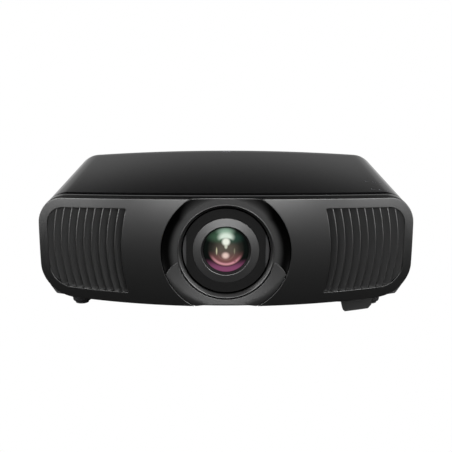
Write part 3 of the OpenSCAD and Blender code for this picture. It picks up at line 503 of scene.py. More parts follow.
EXTRAS = {
    Kind.METAL: {"Metallic": 1.0},
    Kind.BRUSHED: {"Metallic": 1.0, "Anisotropic": 0.5},
    Kind.GLASS: {"Transmission Weight": 0.85, "IOR": 1.5},
    Kind.FLEECE: {"Sheen Weight": 0.4},
}
BRUSH_SCALE = (1.0, 0.06, 1.0)
ROUGH_SPREAD = 0.06
# darkest share of the painted shade on the bowl's outer wall and behind the chin
BOWL_SHADE_DARKEST = 0.04


@dataclass(frozen=True)
class Finish:
    """One finish of the part.

    Its grain, relief depth and edge rounding (bevel) are in millimetres. A finish with dark_before is
    black in front of that Y, and one with painted_bowl_shade gets painted shade on the bowl away from the
    lens.
    """

    name: str
    colour: str
    kind: Kind = Kind.MOULDED
    roughness: float = 0.45
    specular: float = 0.5
    grain: float = 0.6
    depth: float = 0.02
    mottle: float = 0.12
    bevel: float = 0.35
    dark_before: Optional[float] = None
    # paints shade on the bowl towards its outer edge and behind the chin
    painted_bowl_shade: bool = False

    def build(self) -> bpy.types.Material:
        """Makes the material.

        Returns:
            The material, with its nodes.
        """
        mat = bpy.data.materials.new(self.name)
        tree, out = blank(mat)
        where = add_node(tree, "ShaderNodeTexCoord").outputs["Object"]
        if self.kind is Kind.BRUSHED:
            where = add_node(tree, "ShaderNodeMapping", {"Vector": where, "Scale": BRUSH_SCALE}).outputs[0]
        colour, shader = self.surface(tree, where)
        if self.dark_before is not None:
            self.blacken_front(tree, where, colour, shader)
        if self.painted_bowl_shade:
            self.paint_bowl_shade(tree, where, colour, shader)
        tree.links.new(shader.outputs[0], out.inputs["Surface"])
        return mat

    def surface(self, tree: Tree, where: Socket) -> Tuple[Socket, Node]:
        """Makes the shader, with its colour, roughness and relief varied by noise.

        Args:
            tree: the material's nodes.
            where: the place on the piece.

        Returns:
            The colour's socket and the shader.
        """
        base = linear(self.colour)
        dim, bright = 1 - self.mottle, 1 + self.mottle
        wide = add_node(tree, "ShaderNodeTexNoise", {"Vector": where, "Scale": 38.0, "Detail": 3.0})
        grain = {"Vector": where, "Scale": 1.0 / (self.grain * MM), "Detail": 2.0, "Roughness": 0.6}
        fine = add_node(tree, "ShaderNodeTexNoise", grain).outputs["Fac"]
        tones = {0: wide.outputs["Fac"], 6: shade(base, dim), 7: shade(base, bright)}
        tone = add_node(tree, "ShaderNodeMix", tones, data_type="RGBA").outputs[2]
        speck = ranged(tree, fine, (0.3, 0.7), (dim, bright))
        colour = add_node(tree, "ShaderNodeVectorMath", {0: tone, 3: speck}, operation="SCALE").outputs[0]
        low, high = max(0.02, self.roughness - ROUGH_SPREAD), min(1.0, self.roughness + ROUGH_SPREAD)
        rough = ranged(tree, fine, (0.0, 1.0), (low, high))
        edge = add_node(tree, "ShaderNodeBevel", {"Radius": self.bevel * MM}, samples=3)
        relief = {"Height": fine, "Distance": self.depth * MM, "Strength": 0.8, "Normal": edge.outputs[0]}
        bump = add_node(tree, "ShaderNodeBump", relief)
        values = {"Base Color": colour, "Roughness": rough, "Normal": bump.outputs[0]}
        values["Specular IOR Level"] = self.specular
        values.update(EXTRAS.get(self.kind, {}))
        return colour, add_node(tree, "ShaderNodeBsdfPrincipled", values)

    def blacken_front(self, tree: Tree, where: Socket, colour: Socket, shader: Node) -> None:
        """Paints the bare metal black in front of a Y."""
        part = add_node(tree, "ShaderNodeSeparateXYZ", {0: where})
        bare = maths(tree, "GREATER_THAN", part.outputs["Y"], self.dark_before * MM)
        black = add_node(tree, "ShaderNodeMix", {0: bare, 6: linear("#0d0d0e"), 7: colour}, data_type="RGBA")
        tree.links.new(black.outputs[2], shader.inputs["Base Color"])
        tree.links.new(bare, shader.inputs["Metallic"])

    def paint_bowl_shade(self, tree: Tree, where: Socket, colour: Socket, shader: Node) -> None:
        """Paints shade on the bowl: darker and less shiny towards its outer edge, less so at the top, and
        behind the chin.
        """
        part = add_node(tree, "ShaderNodeSeparateXYZ", {0: where})
        up = maths(tree, "SUBTRACT", part.outputs["Z"], CASE.lens_z * MM)
        flat = add_node(tree, "ShaderNodeCombineXYZ", {0: part.outputs["X"], 1: up})
        length = add_node(tree, "ShaderNodeVectorMath", {0: flat.outputs[0]}, operation="LENGTH")
        shade_start_shift = ranged(tree, up, (0.045, 0.075), (0.0, 0.013))
        radius = maths(tree, "SUBTRACT", length.outputs["Value"], shade_start_shift)
        # painted shade: colour and specular are cut towards the outer wall and behind the chin, in place of
        # the shade and dark reflections there
        painted_shade = ranged(tree, radius, (0.068, 0.079), (1.0, BOWL_SHADE_DARKEST), soft=True)
        painted_shade = maths(tree, "MULTIPLY", painted_shade, ranged(tree, up, (-0.034, -0.026), (BOWL_SHADE_DARKEST, 1.0)))
        dim = add_node(tree, "ShaderNodeVectorMath", {0: colour, 3: painted_shade}, operation="SCALE")
        shaded_shine = maths(tree, "MULTIPLY", painted_shade, self.specular)
        tree.links.new(dim.outputs[0], shader.inputs["Base Color"])
        tree.links.new(shaded_shine, shader.inputs["Specular IOR Level"])


FINISHES: Dict[str, Finish] = {
    f.name: f
    for f in (
        Finish("case_moulding", "#0c0c0d", roughness=0.45, depth=0.03),
        Finish("cover_moulding", "#070708", roughness=0.1, depth=0.0005, mottle=0.08),
        Finish("front_moulding", "#030303", roughness=0.33, depth=0.012, mottle=0.1),
        Finish("grille_moulding", "#060606", roughness=0.36, depth=0.01),
        # the bowl's finish gets painted shade towards its outer edge
        Finish("gloss_bowl", "#060606", roughness=0.36, specular=0.6, depth=0.006, painted_bowl_shade=True),
        Finish("chin_moulding", "#050505", roughness=0.36, depth=0.01),
        Finish("rim_moulding", "#080808", roughness=0.36, depth=0.004),
        Finish("rear_moulding", "#111112", roughness=0.5, depth=0.04),
        Finish("control_moulding", "#18181a", roughness=0.4),
        Finish("light_windows", "#3c3d40", roughness=0.4, depth=0.002),
        Finish("receiver_window", "#5b5a60", roughness=0.2, depth=0.002),
        Finish("socket_metal", "#b8b9bc", Kind.BRUSHED, 0.3),
        Finish("inlet_moulding", "#111113", roughness=0.5),
        Finish("button_moulding", "#2f2f32", roughness=0.45),
        Finish("circuit_board", "#12452c", Kind.BOARD, 0.35, mottle=0.25, grain=2.0),
        Finish("copper_block", "#b26a45", Kind.METAL, 0.35),
        Finish("cast_aluminium", "#a6a8ab", Kind.METAL, 0.42, depth=0.05, grain=0.9, dark_before=-199.0),
        Finish("phosphor", "#cbb84a", roughness=0.5),
        Finish("optical_glass", "#dcecea", Kind.GLASS, 0.03, depth=0.0005, bevel=0.1),
        Finish("screw_steel", "#8f9194", Kind.BRUSHED, 0.32),
        Finish("motor_can", "#a0a2a6", Kind.BRUSHED, 0.3),
        Finish("barrel_black", "#141415", roughness=0.35),
        Finish("nose_metal", "#080808", roughness=0.36, specular=0.7, depth=0.0002, mottle=0.02),
        Finish("bevel_metal", "#060606", roughness=0.5, specular=0.15, depth=0.002),
        # matt black that paints the shadow in the gap behind the rim
        Finish("gap_black", "#000000", roughness=0.9, specular=0.0, depth=0.0),
        Finish("coated_glass", "#8fb8a8", Kind.GLASS, 0.02, depth=0.0005, bevel=0.1),
        Finish("gear_moulding", "#1b1b1c", roughness=0.45),
        Finish("gear_brass", "#b99a55", Kind.METAL, 0.3),
        Finish("mask_black", "#010101", roughness=0.6, specular=0.08),
        Finish("fan_moulding", "#121213", roughness=0.5),
        Finish("tray_moulding", "#060606", roughness=0.5, specular=0.3),
        Finish("filter_fleece", "#c9c8c0", Kind.FLEECE, 0.9, depth=0.3, grain=1.2),
        Finish("foot_moulding", "#0a0a0b", roughness=0.45, specular=0.3),
        Finish("foot_rubber", "#101010", Kind.RUBBER, 0.8, specular=0.3),
    )
}


class Paint:
    """Keeps one material for each finish."""

    def __init__(self) -> None:
        self.made: Dict[str, bpy.types.Material] = {}

    def get(self, name: str) -> bpy.types.Material:
        """The material of a finish, made at its first use."""
        if name not in self.made:
            self.made[name] = FINISHES[name].build()
        return self.made[name]

    def put(self, obj: Object, name: str) -> Object:
        """Gives an object a finish, in its one material slot."""
        obj.data.materials.clear()
        obj.data.materials.append(self.get(name))
        SLOTS.get(name, name)
        return obj


# Finishes that only the looks have, and the material slot that each stands in.
SLOTS = {"bevel_metal": "barrel_black", "gap_black": "mask_black"}
PAINT = Paint()


class Assembly:
    """A group of pieces that ride on one body."""

    body = "chassis"

    def place(self, obj: Object, finish: str, *nodes: str) -> Object:
        """Finishes a piece, puts it on its body and hides the nodes it stands for."""
        if finish:
            PAINT.put(obj, finish)
        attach(obj, self.body)
        if nodes:
            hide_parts(*nodes)
        return obj

    def build(self) -> None:
        """Makes the pieces."""
        raise NotImplementedError


# ---------------------------------------------------------------- case pieces


@dataclass
class Cover(Assembly):
    """The top cover and the trim strip in front of it."""

    gap: float = 0.1
    edge: float = 0.25
    depth: float = 3.0

    def edge_rows(self) -> List[Point2]:
        """Inset and offset pairs that come up a front edge and round it."""
        arc = [math.pi / 2 * i / 4 for i in range(5)]
        rounded = [(self.edge * (1 - math.sin(a)), self.edge * (1 - math.cos(a))) for a in arc]
        return [(self.depth, 0.0), *rounded]

    def strip(self, r_front: float, r_back: Optional[float]) -> Shape:
        """A band of the upper case between two bow radii, or from one to the rounded back."""
        rows = []
        n = 22

        def row(y: np.ndarray, path: np.ndarray) -> None:
            z = CASE.tilt(y, path[:, 1])
            rows.append(np.stack([path[:, 0], y, z], 1))

        outer = CASE.upper_path(0.0, n)
        for inset, off in self.edge_rows():
            path = CASE.upper_path(inset, n)
            row(CASE.bow_at(outer[:, 0], r_front) + off, path)
        start = CASE.bow_at(outer[:, 0], r_front) + self.edge
        if r_back is not None:
            end = CASE.bow_at(outer[:, 0], r_back) - self.edge
            for s in np.linspace(0, 1, 5)[1:-1]:
                row(start + (end - start) * s, outer)
            for inset, off in self.edge_rows()[::-1]:
                path = CASE.upper_path(inset, n)
                row(CASE.bow_at(outer[:, 0], r_back) - off, path)
        else:
            end = CASE.back - CASE.rear_r
            for s in np.linspace(0, 1, 22)[1:]:
                row(start + (end - start) * s, outer)
            for a in np.linspace(0, math.pi / 2, 16)[1:]:
                inset = CASE.rear_r * (1 - math.cos(a))
                row(np.full(len(outer), end + CASE.rear_r * math.sin(a)), CASE.upper_path(inset, n))
            last = rows[-1]
            low = last.copy()
            low[:, 2] = CASE.split_z
            for s in (0.25, 0.5, 0.75, 1.0):
                rows.append(last + (low - last) * s)
        out = Shape()
        out.grid(np.stack(rows))
        return out

    def build(self) -> None:
        """Makes the cover, the trim strip, the marks and the receiver window."""
        cover = self.strip(CASE.strip_r - self.gap, None).build("cover_shell", 50)
        self.place(cover, "cover_moulding", "top_cover")
        trim = self.strip(CASE.seam_r - 0.05, CASE.strip_r + self.gap).build("trim_shell", 50)
        self.place(trim, "cover_moulding", "top_front_trim")
        self.place(self.marks().build("status_marks"), "light_windows", "status_lights")
        self.place(self.window().build("receiver_lens"), "receiver_window", "remote_window")

    def height(self, x: np.ndarray, y: np.ndarray) -> np.ndarray:
        """Height of the cover's skin."""
        path = CASE.upper_half(0.0, 60)[::-1]
        z = np.interp(np.abs(x), path[:, 0], path[:, 1])
        return CASE.tilt(np.asarray(y, float), z)

    def patch(self, out: Shape, x0: float, x1: float, y0: float, y1: float, lift: float = 0.12) -> None:
        """Lays a thin plate on the cover, between two X and two Y."""
        xs, ys = np.linspace(x0, x1, 5), np.linspace(y0, y1, 5)
        gx, gy = np.meshgrid(xs, ys)
        z = self.height(gx, gy) + lift
        top = np.stack([gx, gy, z], 2)
        out.grid(top[::-1])

    def marks(self) -> Shape:
        """Small raised indicator marks on the right shoulder."""
        out = Shape()
        for y in (-120.5, -60.5):
            for i in range(3):
                x = 209.0 + 11.0 * i
                self.patch(out, x - 2.2, x + 2.2, y - 3.0, y - 1.8)
                self.patch(out, x - 2.2, x - 1.2, y - 1.8, y + 4.0)
        return out

    def window(self) -> Shape:
        """The remote receiver's window near the back."""
        out = Shape()
        self.patch(out, -8.0, 8.0, 175.5, 181.5)
        return out


@dataclass
class FrontPanel(Assembly):
    """The bowed front panel, made as two halves that meet the lens bowl."""

    grille_inner: float = 141.0
    slat_r: float = 230.0
    slat_z: float = 116.0
    window_inset: float = 13.2
    window_low: float = 16.0
    window_top: float = 174.0
    window_r: float = 31.0

    def inner_edge(self, z: np.ndarray) -> np.ndarray:
        """X of the grille window's curved inner edge."""
        return self.grille_inner - self.slat_r + np.sqrt(self.slat_r**2 - (np.asarray(z) - self.slat_z) ** 2)

    def window(self) -> np.ndarray:
        """The right grille's window, anticlockwise seen from the front."""
        cz, r, turn = CASE.top_corner(self.window_inset)
        half = CASE.half_w - self.window_inset
        low_r = self.window_r
        bottom = CASE.face_z + self.window_low
        a = np.linspace(-math.pi / 2, 0, 20)
        low = np.stack([half - low_r + low_r * np.cos(a), bottom + low_r + low_r * np.sin(a)], 1)
        b = np.linspace(0, turn, 16)
        top = np.stack([half - r + r * np.cos(b), cz + r * np.sin(b)], 1)
        rc = CASE.crown_r - self.window_inset
        crown_z = lambda x: CASE.lip_z - self.window_inset - rc + np.sqrt(rc**2 - x**2)
        x_top = float(self.inner_edge(self.window_top))
        x_low = float(self.inner_edge(bottom))
        xs = np.linspace(half - r, x_top + 1.5, 22)[1:]
        crown = np.stack([xs, crown_z(xs)], 1)
        zs = np.linspace(self.window_top - 1.0, bottom + 1.5, 26)
        inner = np.stack([self.inner_edge(zs), zs], 1)
        xb = np.linspace(x_low + 1.5, half - low_r, 18)[:-1]
        floor = np.stack([xb, np.full_like(xb, bottom)], 1)
        return np.concatenate([low, top, crown, inner, floor])

    def half_loop(self) -> np.ndarray:
        """Outline of the right half, anticlockwise seen from the front."""
        r = CASE.bowl_r + 0.1
        path = CASE.right_outline()
        d = np.hypot(path[:, 0], path[:, 1] - CASE.lens_z)
        path = path[d > r + 0.4]
        low = math.asin((CASE.face_z - CASE.lens_z) / r)
        x_top = 54.3  # first guess, mended by the loop
        for _ in range(20):
            z_top = CASE.lip_z - CASE.crown_r + math.sqrt(CASE.crown_r**2 - x_top**2)
            x_top = math.sqrt(r**2 - (z_top - CASE.lens_z) ** 2)
        high = math.atan2(z_top - CASE.lens_z, x_top)
        a = np.linspace(high, low, 60)
        arc = np.stack([r * np.cos(a), CASE.lens_z + r * np.sin(a)], 1)
        return np.concatenate([path, arc])

    def build(self) -> None:
        """Makes the front panel."""
        outer = self.half_loop()
        hole = self.window()[::-1]
        back = lambda x, z: CASE.bow_at(x, CASE.seam_r + 0.2)
        side = lambda x, z: CASE.front_y(x, z) + 7.0

        def outer_wall(x: np.ndarray, z: np.ndarray) -> np.ndarray:
            near = np.hypot(x, z - CASE.lens_z) < CASE.bowl_r + 0.6
            return np.where(near, CASE.front_y(x, z) + 3.0, back(x, z))

        right = panel(outer, [hole], CASE.front_y, [outer_wall, side], 0.6)
        both = Shape()
        for part in (right, right.mirrored()):
            both.add(np.concatenate(part.verts), part.faces)
        self.place(both.build("front_shell", 40), "front_moulding", "front_bezel")


@dataclass
class Grille(Assembly):
    """Curved slats of one grille, repeated by a node tree."""

    side: int = 1
    count: int = 10
    pitch: float = 10.95
    first: float = 150.0
    depth: float = 5.5
    lean: float = 9.1
    thick: float = 1.9
    recess: float = 1.6

    def blade(self) -> Object:
        """One slat with its front edge at X 0, following the arc seen from the front."""
        panel_shape = FrontPanel()
        z = np.linspace(50.0, 178.0, 40)
        bend = panel_shape.inner_edge(z) - panel_shape.grille_inner
        t = self.thick / 2
        section = [(-t, 0.5), (-t + 0.35, 0.08), (0.0, 0.0), (t - 0.35, 0.08), (t, 0.5)]
        section += [(t - 0.3 - self.lean, self.depth), (-t + 0.3 - self.lean, self.depth), (-t, 0.5)]
        rows = [np.stack([bend + sx, np.full_like(z, sy), z], 1) for sx, sy in section]
        shape = Shape()
        shape.grid(np.stack(rows[::-1]))
        return shape.build("slat_source", 50)

    def build(self) -> None:
        """Makes the grille of this side."""
        source = self.blade()
        inputs = {"Slat": "Object", "Pitch": "Float", "Count": "Int", "Finish": "Material"}
        tree, given = geometry_tree("slats", inputs)
        step = add_node(tree, "ShaderNodeCombineXYZ", {"X": given.outputs["Pitch"]})
        start = (self.first * MM, 0.0, 0.0)
        places = {"Count": given.outputs["Count"], "Start Location": start, "Offset": step.outputs[0]}
        line = add_node(tree, "GeometryNodeMeshLine", places)
        info = add_node(tree, "GeometryNodeObjectInfo", {"Object": given.outputs["Slat"]})
        solid = copies(tree, line, info.outputs["Geometry"])
        position = add_node(tree, "GeometryNodeInputPosition")
        part = add_node(tree, "ShaderNodeSeparateXYZ", {0: position.outputs[0]})
        up = maths(tree, "SUBTRACT", part.outputs["Z"], CASE.bulge_z * MM)
        bulge = maths(tree, "SUBTRACT", (CASE.bulge_r * MM) ** 2, maths(tree, "MULTIPLY", up, up))
        radius = maths(tree, "ADD", maths(tree, "SQRT", bulge), (CASE.bow_r - CASE.bulge_r) * MM)
        across = maths(tree, "MULTIPLY", part.outputs["X"], part.outputs["X"])
        chord = maths(tree, "SUBTRACT", maths(tree, "MULTIPLY", radius, radius), across)
        shift = maths(tree, "SUBTRACT", (CASE.bow_y + self.recess) * MM, maths(tree, "SQRT", chord))
        push = add_node(tree, "ShaderNodeCombineXYZ", {"Y": shift})
        bent = {"Geometry": solid.outputs[0], "Offset": push.outputs[0]}
        moved = add_node(tree, "GeometryNodeSetPosition", bent)
        end_tree(tree, moved, given.outputs["Finish"])
        name = "right_slats" if self.side > 0 else "left_slats"
        obj = run_tree(name, tree, [source, self.pitch * MM, self.count, PAINT.get("grille_moulding")])
        bpy.data.objects.remove(source)
        if self.side < 0:
            mirror_mesh(obj)
        self.place(obj, "", "right_grille" if self.side > 0 else "left_grille")


def run_tree(name: str, tree: Tree, values: Sequence) -> Object:
    """Runs a node tree on an empty mesh and keeps the result as a plain mesh.

    Args:
        name: the new object's name.
        tree: the geometry node tree.
        values: its inputs, in order.

    Returns:
        The object, with one material slot.
    """
    obj = bpy.data.objects.new(name, bpy.data.meshes.new(name))
    bpy.context.scene.collection.objects.link(obj)
    modifier = obj.modifiers.new("nodes", "NODES")
    modifier.node_group = tree
    sockets = [s for s in tree.interface.items_tree if s.in_out == "INPUT"]
    for s, v in zip(sockets, values):
        modifier[s.identifier] = v
    obj.update_tag()
    bpy.context.view_layer.update()
    finish_mesh(obj, 50)
    bpy.data.node_groups.remove(tree)
    return obj


def mirror_mesh(obj: Object) -> None:
    """Moves a mesh to the other side of the middle, with its normals kept outwards."""
    co = np.zeros(len(obj.data.vertices) * 3, np.float32)
    obj.data.vertices.foreach_get("co", co)
    co = co.reshape(-1, 3)
    co[:, 0] *= -1
    obj.data.vertices.foreach_set("co", co.ravel())
    obj.data.flip_normals()
    obj.data.update()


# ---------------------------------------------------------------- lens opening


@dataclass
class LensOpening(Assembly):
    """The bowl, the chin and the rim round the lens.

    The chin's ends are angles in degrees, at its outer and its inner edge.
    """

    rim_r: float = 65.3
    rim_in: float = 61.0
    rim_y: float = CASE.front + 11.5
    floor_y: float = CASE.front + 13.0
    floor_r: float = 72.3
    rise: float = 8.0
    chin_y: float = CASE.front + 7.2
    chin_lean: float = 0.17
    chin_gap: float = 1.75
    chin_inset: float = 1.1
    chin_ends: Point2 = (-20.5, -12.7)

    def bowl_y(self, r: np.ndarray) -> np.ndarray:
        """Y of the bowl at a radius: a flat floor that curves forward."""
        t = np.clip((r - self.floor_r) / (CASE.bowl_r - self.floor_r), 0, 1)
        return self.floor_y - self.rise * (1 - np.sqrt(1 - t**2))

    def bowl(self) -> Shape:
        """The bowl, cut off at the top by the case's upper skin."""
        a = np.radians(np.linspace(-24.0, 204.0, 300))
        s = np.maximum(np.sin(a), 1e-3)
        top = CASE.lip_z - 0.2 - (CASE.bowl_r * 0.3 * np.cos(a)) ** 2 / (2 * CASE.crown_r) - CASE.lens_z
        cut = top / s < CASE.bowl_r
        r_end = np.where(cut, top / s, CASE.bowl_r)
        rows = []

        def row(r: np.ndarray, y: np.ndarray) -> None:
            rows.append(np.stack([r * np.cos(a), y, CASE.lens_z + r * np.sin(a)], 1))

        def skin(r: np.ndarray) -> np.ndarray:
            return CASE.front_y(r * np.cos(a), CASE.lens_z + r * np.sin(a)) + 0.25

        soft = np.where(cut, 0.9, 0.02)
        for u in np.linspace(0, 1, 34):
            r = self.rim_r + (r_end - soft - self.rim_r) * math.sin(u * math.pi / 2)
            row(r, np.maximum(self.bowl_y(r), skin(r)))
        edge = np.minimum(np.maximum(self.bowl_y(r), skin(r)), np.where(cut, 1e9, skin(r)))
        for b in np.linspace(0, math.pi / 2, 6):
            row(r_end - soft * (1 - math.sin(b)), edge + soft * (1 - math.cos(b)))
        row(r_end, np.full_like(a, self.floor_y + 1.3))
        row(np.full_like(a, self.rim_r), np.full_like(a, self.floor_y + 1.3))
        out = Shape()
        out.grid(np.stack(rows))
        return out

    def chin(self) -> Shape:
        """The crescent plate below the rim, which leans back towards it."""
        r0, r1 = self.rim_r + self.chin_gap, CASE.bowl_r - self.chin_inset
        low = CASE.face_z + 0.3
        bottom_deg = math.degrees(math.asin((low - CASE.lens_z) / r1))
        a = np.radians(np.linspace(bottom_deg, self.chin_ends[0], 44))
        right = np.stack([r1 * np.cos(a), CASE.lens_z + r1 * np.sin(a)], 1)
        xb = np.linspace(-right[0, 0], right[0, 0], 26)[1:-1]
        lift = 2.0 * np.clip(1 - (np.abs(xb) / 40.0) ** 4, 0, 1)
        base = np.stack([xb, low + lift], 1)
        inner_end = self.chin_ends[1]
        b = np.radians(np.linspace(inner_end, -180 - inner_end, 100))
        ring = np.stack([r0 * np.cos(b), CASE.lens_z + r0 * np.sin(b)], 1)
        side = np.linspace(right[-1], ring[0], 10)[1:-1]
        side += 1.4 * np.sin(np.linspace(0, math.pi, 10)[1:-1])[:, None]
        left = right[::-1] * [-1, 1]
        left_side = side[::-1] * [-1, 1]
        loop = np.concatenate([base, right, side, ring, left_side, left])

        def skin(x: np.ndarray, z: np.ndarray) -> np.ndarray:
            r = np.hypot(x, z - CASE.lens_z)
            return np.maximum(self.chin_y + self.chin_lean * (CASE.bowl_r - r), CASE.front_y(x, z) + 0.2)

        wall = lambda x, z: np.full_like(x, self.floor_y + 1.0)
        return panel(loop, [], skin, [wall], 0.15, 4.0)

    def rim(self) -> Shape:
        """The rim with its sloping inner face."""
        y = self.rim_y
        return revolve(
            [
                (self.rim_in, y + 6.7),
                (self.rim_in, y + 5.6),
                (self.rim_in + 0.3, y + 5.0),
                (64.0, y + 0.4),
                (64.35, y + 0.08),
                (64.8, y),
                (65.1, y + 0.15),
                (self.rim_r, y + 0.5),
                (self.rim_r, y + 6.7),
            ],
            220,
        )

    def build(self) -> None:
        """Makes the pieces round the lens."""
        self.place(self.bowl().build("bowl_dish", 40), "gloss_bowl", "lens_bowl")
        self.place(self.chin().build("chin_plate", 40), "chin_moulding", "lens_chin")
        self.place(self.rim().build("lens_surround", 60), "rim_moulding", "lens_rim")
        # painted shadow: a flat matt black ring stands in the shadowed gap between the rim and the mask plate
        low, top = self.rim_y + 6.4, self.rim_y + 6.75
        gap = revolve([(58.5, top), (58.7, low), (60.3, low), (60.3, top)], 160)
        self.place(gap.build("rim_gap", 40), "gap_black")


@dataclass
class LensNose(Assembly):
    """The ring at the lens's nose and the dark bevel inside it."""

    body = "z_stage"
    outer: float = 45.0
    face: float = 34.0
    inner: float = 31.05
    y: float = CASE.front + 17.0
    slant: float = 1.6

    def build(self) -> None:
        """Makes the nose ring and its inner bevel."""
        y = self.y
        slope = self.slant / (self.outer - 0.4 - self.face)
        at = lambda r: (r, y + slope * (r - self.face))
        profile = [(self.face, y + 0.2), at(self.face + 0.3), at(self.outer - 1.0), at(self.outer - 0.3)]
        profile += [(self.outer, y + self.slant + 0.4), (self.outer, y + 10.8), (34.0, y + 10.8)]
        self.place(revolve(profile, 240).build("nose_band", 35), "nose_metal", "nose_ring")
        bevel = [(self.inner, y + 8.0), (self.inner, y + 5.4)]
        bevel += [(31.3, y + 4.9), (32.3, y + 3.4), (32.5, y + 3.0), (33.2, y + 1.2), (self.face, y + 0.2)]
        self.place(revolve(bevel, 200).build("nose_bevel", 35), "bevel_metal")


@dataclass
class FrontGlass(Assembly):
    """The coated front element and the painted reflections that show in it."""

    body = "focus_group"
    radius: float = 30.9
    rim_y: float = CASE.front + 22.6
    bulge: float = 5.2

    def dome(self) -> Shape:
        """The domed glass."""
        ball = (self.radius**2 + self.bulge**2) / (2 * self.bulge)
        rs = np.linspace(0.02, self.radius, 40)
        profile = [(float(r), self.rim_y - self.bulge + ball - math.sqrt(ball**2 - r * r)) for r in rs]
        return revolve(profile + [(self.radius, self.rim_y + 6)], 128)

    def build(self) -> None:
        """Makes the glass."""
        obj = self.dome().build("coated_dome", 60)
        obj.data.materials.append(self.material())
        self.place(obj, "", "front_glass")

    def material(self) -> bpy.types.Material:
        """Painted reflections and highlights of the coated elements, layered by place on the glass and given
        off as glow.
        """
        mat = bpy.data.materials.new("coated_front")
        tree, out = blank(mat)
        where = add_node(tree, "ShaderNodeTexCoord").outputs["Object"]
        split = add_node(tree, "ShaderNodeSeparateXYZ", {0: where})

        def sum_of(op: str, a: Value, b: Value = 0.0) -> Socket:
            return maths(tree, op, a, b)

        def ramp(value: Socket, low: float, high: float) -> Socket:
            return ranged(tree, value, (low, high), soft=True)

        k = 1 / (self.radius * MM)
        u = sum_of("MULTIPLY", split.outputs["X"], k)
        v = sum_of("MULTIPLY", sum_of("SUBTRACT", split.outputs["Z"], CASE.lens_z * MM), k)

        def distance(cx: float, cv: float, rx: float, rv: float) -> Socket:
            du = sum_of("MULTIPLY", sum_of("SUBTRACT", u, cx), 1 / rx)
            dv = sum_of("MULTIPLY", sum_of("SUBTRACT", v, cv), 1 / rv)
            return sum_of("SQRT", sum_of("ADD", sum_of("MULTIPLY", du, du), sum_of("MULTIPLY", dv, dv)))

        def blob(cx: float, cv: float, rx: float, rv: float, soft: float) -> Socket:
            return ramp(distance(cx, cv, rx, rv), 1 + soft, 1 - soft)

        def band(cx: float, cv: float, r: float, half: float) -> Socket:
            off = sum_of("ABSOLUTE", sum_of("SUBTRACT", distance(cx, cv, r, r), 1.0))
            return ramp(off, half / r, 0.0)

        colour = add_node(tree, "ShaderNodeRGB").outputs[0]
        colour.default_value = linear("#050505")

        def paint_reflection(mask: Socket, hex_colour: str, amount: float = 1.0) -> None:
            nonlocal colour
            share = maths(tree, "MULTIPLY", mask, amount, clamp=True)
            layers = {0: share, 6: colour, 7: linear(hex_colour)}
            colour = add_node(tree, "ShaderNodeMix", layers, data_type="RGBA").outputs[2]

        # painted reflections: crescents, blobs and bands of the lights mirrored in the coated elements,
        # tinted green above and magenta below
        upper = ramp(v, -0.1, 0.5)
        lower = ramp(v, 0.05, -0.5)
        disc = blob(0.0, 0.08, 0.77, 0.77, 0.08)
        paint_reflection(blob(0.0, 0.0, 0.98, 0.98, 0.04), "#0b100e")
        paint_reflection(sum_of("MULTIPLY", disc, blob(0.0, 0.0, 0.72, 0.66, 0.6)), "#2e2c28")
        paint_reflection(sum_of("MULTIPLY", disc, blob(0.0, 0.0, 0.45, 0.45, 0.6)), "#5f574e", 0.8)
        paint_reflection(sum_of("MULTIPLY", disc, lower), "#7c4f50", 0.85)
        paint_reflection(sum_of("MULTIPLY", blob(-0.14, 0.62, 0.5, 0.22, 0.8), upper), "#46664f", 0.85)
        paint_reflection(sum_of("MULTIPLY", blob(0.3, 0.52, 0.34, 0.2, 0.7), upper), "#24433a", 0.6)
        paint_reflection(sum_of("MULTIPLY", blob(-0.02, 0.84, 0.3, 0.14, 0.7), upper), "#93b09c", 0.9)
        bitten = ramp(distance(0.0, 0.33, 0.4, 0.28), 0.7, 1.05)
        paint_reflection(sum_of("MULTIPLY", blob(0.0, 0.6, 0.3, 0.19, 0.5), bitten), "#dcebdc", 0.95)
        paint_reflection(blob(0.0, 0.41, 0.16, 0.16, 0.45), "#eef2e5", 0.97)
        paint_reflection(blob(0.0, 0.2, 0.06, 0.09, 0.6), "#d5d8c6", 0.85)
        paint_reflection(blob(-0.41, -0.01, 0.03, 0.15, 0.5), "#c4bf9f", 0.9)
        paint_reflection(blob(0.37, -0.01, 0.03, 0.12, 0.5), "#8a8872", 0.7)
        paint_reflection(blob(-0.02, -0.21, 0.14, 0.13, 0.6), "#e6c9bf", 0.95)
        paint_reflection(sum_of("MULTIPLY", band(0.0, -0.05, 0.37, 0.05), lower), "#8c7062", 0.5)
        paint_reflection(sum_of("MULTIPLY", band(0.0, 0.08, 0.7, 0.1), ramp(v, -0.15, -0.6)), "#d0929b", 0.95)
        beyond = ramp(distance(0.0, 0.08, 0.77, 0.77), 0.98, 1.12)
        moon = sum_of("MULTIPLY", beyond, blob(0.0, 0.0, 0.99, 0.99, 0.03))
        paint_reflection(sum_of("MULTIPLY", moon, ramp(v, -0.35, -0.85)), "#84496a", 0.95)
        paint_reflection(sum_of("MULTIPLY", blob(0.38, -0.48, 0.05, 0.05, 0.5), disc), "#8a5560", 0.7)
        noise = add_node(tree, "ShaderNodeTexNoise", {"Vector": where, "Scale": 220.0, "Detail": 2.0})
        rough = ranged(tree, noise.outputs["Fac"], (0.0, 1.0), (0.04, 0.07))
        # the painted reflections glow, and the glass's own specular is off
        values = {"Base Color": DEEP_BLACK, "Roughness": rough, "Emission Color": colour}
        values.update({"Specular IOR Level": 0.0, "Emission Strength": 1.0})
        shader = add_node(tree, "ShaderNodeBsdfPrincipled", values)
        tree.links.new(shader.outputs[0], out.inputs["Surface"])
        return mat


# ---------------------------------------------------------------- feet


